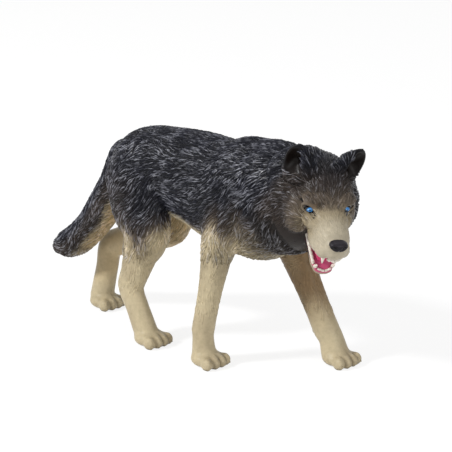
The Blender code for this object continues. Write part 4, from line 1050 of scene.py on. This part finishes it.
def vinylPaint():
    # moulded PVC, sprayed and dry-brushed by hand: matt colour in the grooves, a grey on the crests that is
    # dry-brush paint and painted highlight
    f = vinylFinish
    material, tree, shader = newMaterial("vinylBrushedAndHighlit")
    place = addNode(tree, "ShaderNodeTexCoord").outputs["Object"]
    paint = addNode(tree, "ShaderNodeAttribute", {"attribute_name": "paint"}).outputs["Color"]
    ridge = addNode(tree, "ShaderNodeAttribute", {"attribute_name": "ridge"}).outputs["Fac"]
    # mottle about 0.6 mm across, where the brush ran dry
    patches = addNode(tree, "ShaderNodeTexNoise", Vector=place, Scale=1 / f["mottleSize"], Detail=4.0,
                      Roughness=0.6).outputs["Fac"]
    tone = addNode(tree, "ShaderNodeMapRange", Value=patches,
                   i1=0.3, i2=0.7, i3=0.9, i4=1.1).outputs["Result"]
    toned = addNode(tree, "ShaderNodeVectorMath", {"operation": "SCALE"},
                    i0=paint, Scale=tone).outputs["Vector"]
    brushAndHighlight = addNode(tree, "ShaderNodeMath", {"operation": "MULTIPLY"}, i0=ridge, i1=patches).outputs["Value"]
    amount = addNode(tree, "ShaderNodeMapRange", Value=brushAndHighlight,
                     i1=0.22, i2=0.50, i3=0.0, i4=1.0).outputs["Result"]
    # the crests' grey: dry-brush paint and painted highlight
    brushAndHighlightColour = addNode(tree, "ShaderNodeVectorMath", {"operation": "MULTIPLY_ADD"}, i0=paint,
                    i1=(1.2, 1.2, 1.2), i2=f["brushAndHighlightGrey"]).outputs["Vector"]
    brushedAndHighlit = addNode(tree, "ShaderNodeMix", {"data_type": "RGBA"}, i0=amount, i6=toned, i7=brushAndHighlightColour).outputs[2]
    # painted highlight: a few crests are painted almost white
    highlightFleck = addNode(tree, "ShaderNodeMapRange", Value=brushAndHighlight,
                    i1=0.5, i2=0.8, i3=0.0, i4=0.5).outputs["Result"]
    mixed = addNode(tree, "ShaderNodeMix", {"data_type": "RGBA"}, i0=highlightFleck, i6=brushedAndHighlit,
                    i7=f["paintedHighlightWhite"]).outputs[2]
    tree.links.new(mixed, shader.inputs["Base Color"])
    shine = addNode(tree, "ShaderNodeMapRange", Value=patches,
                    i1=0.3, i2=0.7, i3=0.24, i4=0.44).outputs["Result"]
    tree.links.new(shine, shader.inputs["Roughness"])
    grain = addNode(tree, "ShaderNodeTexNoise", Vector=place, Scale=1 / f["grainSize"],
                    Detail=3.0).outputs["Fac"]
    bump = addNode(tree, "ShaderNodeBump", Strength=0.35, Distance=f["grainDepth"], Height=grain)
    tree.links.new(bump.outputs["Normal"], shader.inputs["Normal"])
    # crests are rubbed glossy, grooves stay matt and dark
    gloss = addNode(tree, "ShaderNodeMapRange", Value=brushAndHighlight,
                    i1=0.12, i2=0.5, i3=0.12, i4=0.6).outputs["Result"]
    tree.links.new(gloss, shader.inputs["Specular IOR Level"])
    return material


def enamel(name, roughness, low, high, size, coat=0.0):
    # brush-applied acrylic over the vinyl, glossier than the coat; tone drifts a little with the brush
    material, tree, shader = newMaterial(name)
    place = addNode(tree, "ShaderNodeTexCoord").outputs["Object"]
    paint = addNode(tree, "ShaderNodeAttribute", {"attribute_name": "paint"}).outputs["Color"]
    patches = addNode(tree, "ShaderNodeTexNoise", Vector=place, Scale=1 / size, Detail=3.0).outputs["Fac"]
    tone = addNode(tree, "ShaderNodeMapRange", Value=patches,
                   i1=0.3, i2=0.7, i3=low, i4=high).outputs["Result"]
    toned = addNode(tree, "ShaderNodeVectorMath", {"operation": "SCALE"},
                    i0=paint, Scale=tone).outputs["Vector"]
    tree.links.new(toned, shader.inputs["Base Color"])
    bump = addNode(tree, "ShaderNodeBump", Strength=0.2, Distance=0.00008, Height=patches)
    tree.links.new(bump.outputs["Normal"], shader.inputs["Normal"])
    shader.inputs["Roughness"].default_value = roughness
    shader.inputs["Specular IOR Level"].default_value = 0.22
    shader.inputs["Coat Weight"].default_value = coat
    return material


vinyl = vinylPaint()
eyeEnamel = enamel("eyeEnamel", 0.18, 0.9, 1.1, 0.0006, coat=0.5)
nosePaint = enamel("nosePaint", 0.42, 0.8, 1.25, 0.0005)
mouthPaint = enamel("mouthPaint", 0.3, 0.82, 1.2, 0.0012)
toothPaint = enamel("toothPaint", 0.3, 0.92, 1.06, 0.0010)

for piece in pieces:
    dressed(piece, vinyl)
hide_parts("wolf")
for piece in eyes:
    dressed(piece, eyeEnamel)
dressed(nose, nosePaint)
dressed(tongue, mouthPaint)
dressed(teeth, toothPaint)
dressed(claws, vinyl)
print("materials on")


def seenDirectly(tree):
    # 1 for camera, glossy and transmission rays, 0 for the light that falls on the figure
    path = addNode(tree, "ShaderNodeLightPath").outputs
    clear = addNode(tree, "ShaderNodeMath", {"operation": "MAXIMUM"}, i0=path["Is Camera Ray"],
                    i1=path["Is Transmission Ray"]).outputs["Value"]
    return addNode(tree, "ShaderNodeMath", {"operation": "MAXIMUM"}, i0=clear,
                   i1=path["Is Glossy Ray"]).outputs["Value"]


studioSet = {  # a lamp has its place in metres, its size and its power
    "paper": (0.88, 0.88, 0.88, 1), "paperGlow": 1.15, "glowShare": 0.72, "room": 0.25,
    "lamps": {"key": ((-0.34, -0.66, 0.60), 0.14, 6.6), "top": ((0.05, 0.05, 0.9), 0.5, 1.0),
              "fill": ((0.85, -0.25, 0.35), 0.7, 2.8)},
}


def studio():
    # a white floor, a soft room and three lamps that face the middle of the figure
    floorMesh = bpy.data.meshes.new("floor")
    floorMesh.from_pydata([(-3, -3, 0), (3, -3, 0), (3, 3, 0), (-3, 3, 0)], [], [(0, 1, 2, 3)])
    floor = bpy.data.objects.new("floor", floorMesh)
    bpy.context.scene.collection.objects.link(floor)
    # white paper: camera and reflections see most of it glow, the rest is lit and keeps the shadow
    material, tree, shader = newMaterial("whitePaper")
    shader.inputs["Base Color"].default_value = studioSet["paper"]
    shader.inputs["Roughness"].default_value = 0.9
    shader.inputs["Specular IOR Level"].default_value = 0.1
    glow = addNode(tree, "ShaderNodeEmission", Color=(1, 1, 1, 1), Strength=studioSet["paperGlow"])
    share = addNode(tree, "ShaderNodeMath", {"operation": "MULTIPLY"}, i0=seenDirectly(tree),
                    i1=studioSet["glowShare"]).outputs["Value"]
    blend = addNode(tree, "ShaderNodeMixShader", Fac=share, i1=shader.outputs["BSDF"], i2=glow.outputs[0])
    tree.links.new(blend.outputs[0], tree.nodes["Material Output"].inputs["Surface"])
    floorMesh.materials.append(material)

    world = bpy.data.worlds.new("softRoom")
    bpy.context.scene.world = world
    world.use_nodes = True
    tree = world.node_tree
    tree.nodes.clear()
    out = addNode(tree, "ShaderNodeOutputWorld")
    room = addNode(tree, "ShaderNodeBackground", Color=(1, 1, 1, 1), Strength=studioSet["room"])
    white = addNode(tree, "ShaderNodeBackground", Color=(1, 1, 1, 1), Strength=1.0)
    mix = addNode(tree, "ShaderNodeMixShader", Fac=seenDirectly(tree), i1=room.outputs[0],
                  i2=white.outputs[0])
    tree.links.new(mix.outputs[0], out.inputs["Surface"])

    for name, (place, size, power) in studioSet["lamps"].items():
        lamp = bpy.data.lights.new(name, "AREA")
        lamp.shape, lamp.size, lamp.energy = "DISK", size, power
        holder = bpy.data.objects.new(name, lamp)
        bpy.context.scene.collection.objects.link(holder)
        holder.location = place
        aim = Vector(place) - Vector((0, 0, 0.03))
        holder.rotation_euler = aim.to_track_quat("Z", "Y").to_euler()


cameraPlace = {
    "azimuth": 43.0, "elevation": 16.0, "distance": 600.0, "target": (-3.335, 9.163, 28.45),
    "pixelsPerMm": 4.0, "imagePixels": 452, "sensor": 36,
}


def placeCamera():
    # looks at the target from the given side and height; the lens gives that many pixels a mm at the target
    c = cameraPlace
    a, e = math.radians(c["azimuth"]), math.radians(c["elevation"])
    back = Vector((math.sin(a) * math.cos(e), -math.cos(a) * math.cos(e), math.sin(e)))
    data = bpy.data.cameras.new("camera")
    holder = bpy.data.objects.new("camera", data)
    bpy.context.scene.collection.objects.link(holder)
    holder.location = (Vector(c["target"]) + back * c["distance"]) * mm
    holder.rotation_euler = back.to_track_quat("Z", "Y").to_euler()
    data.sensor_width = c["sensor"]
    data.lens = c["pixelsPerMm"] * c["distance"] * c["sensor"] / c["imagePixels"]
    data.clip_start, data.clip_end = 0.01, 20
    bpy.context.scene.camera = holder


studio()
placeCamera()
bpy.context.scene.view_settings.view_transform = "Standard"
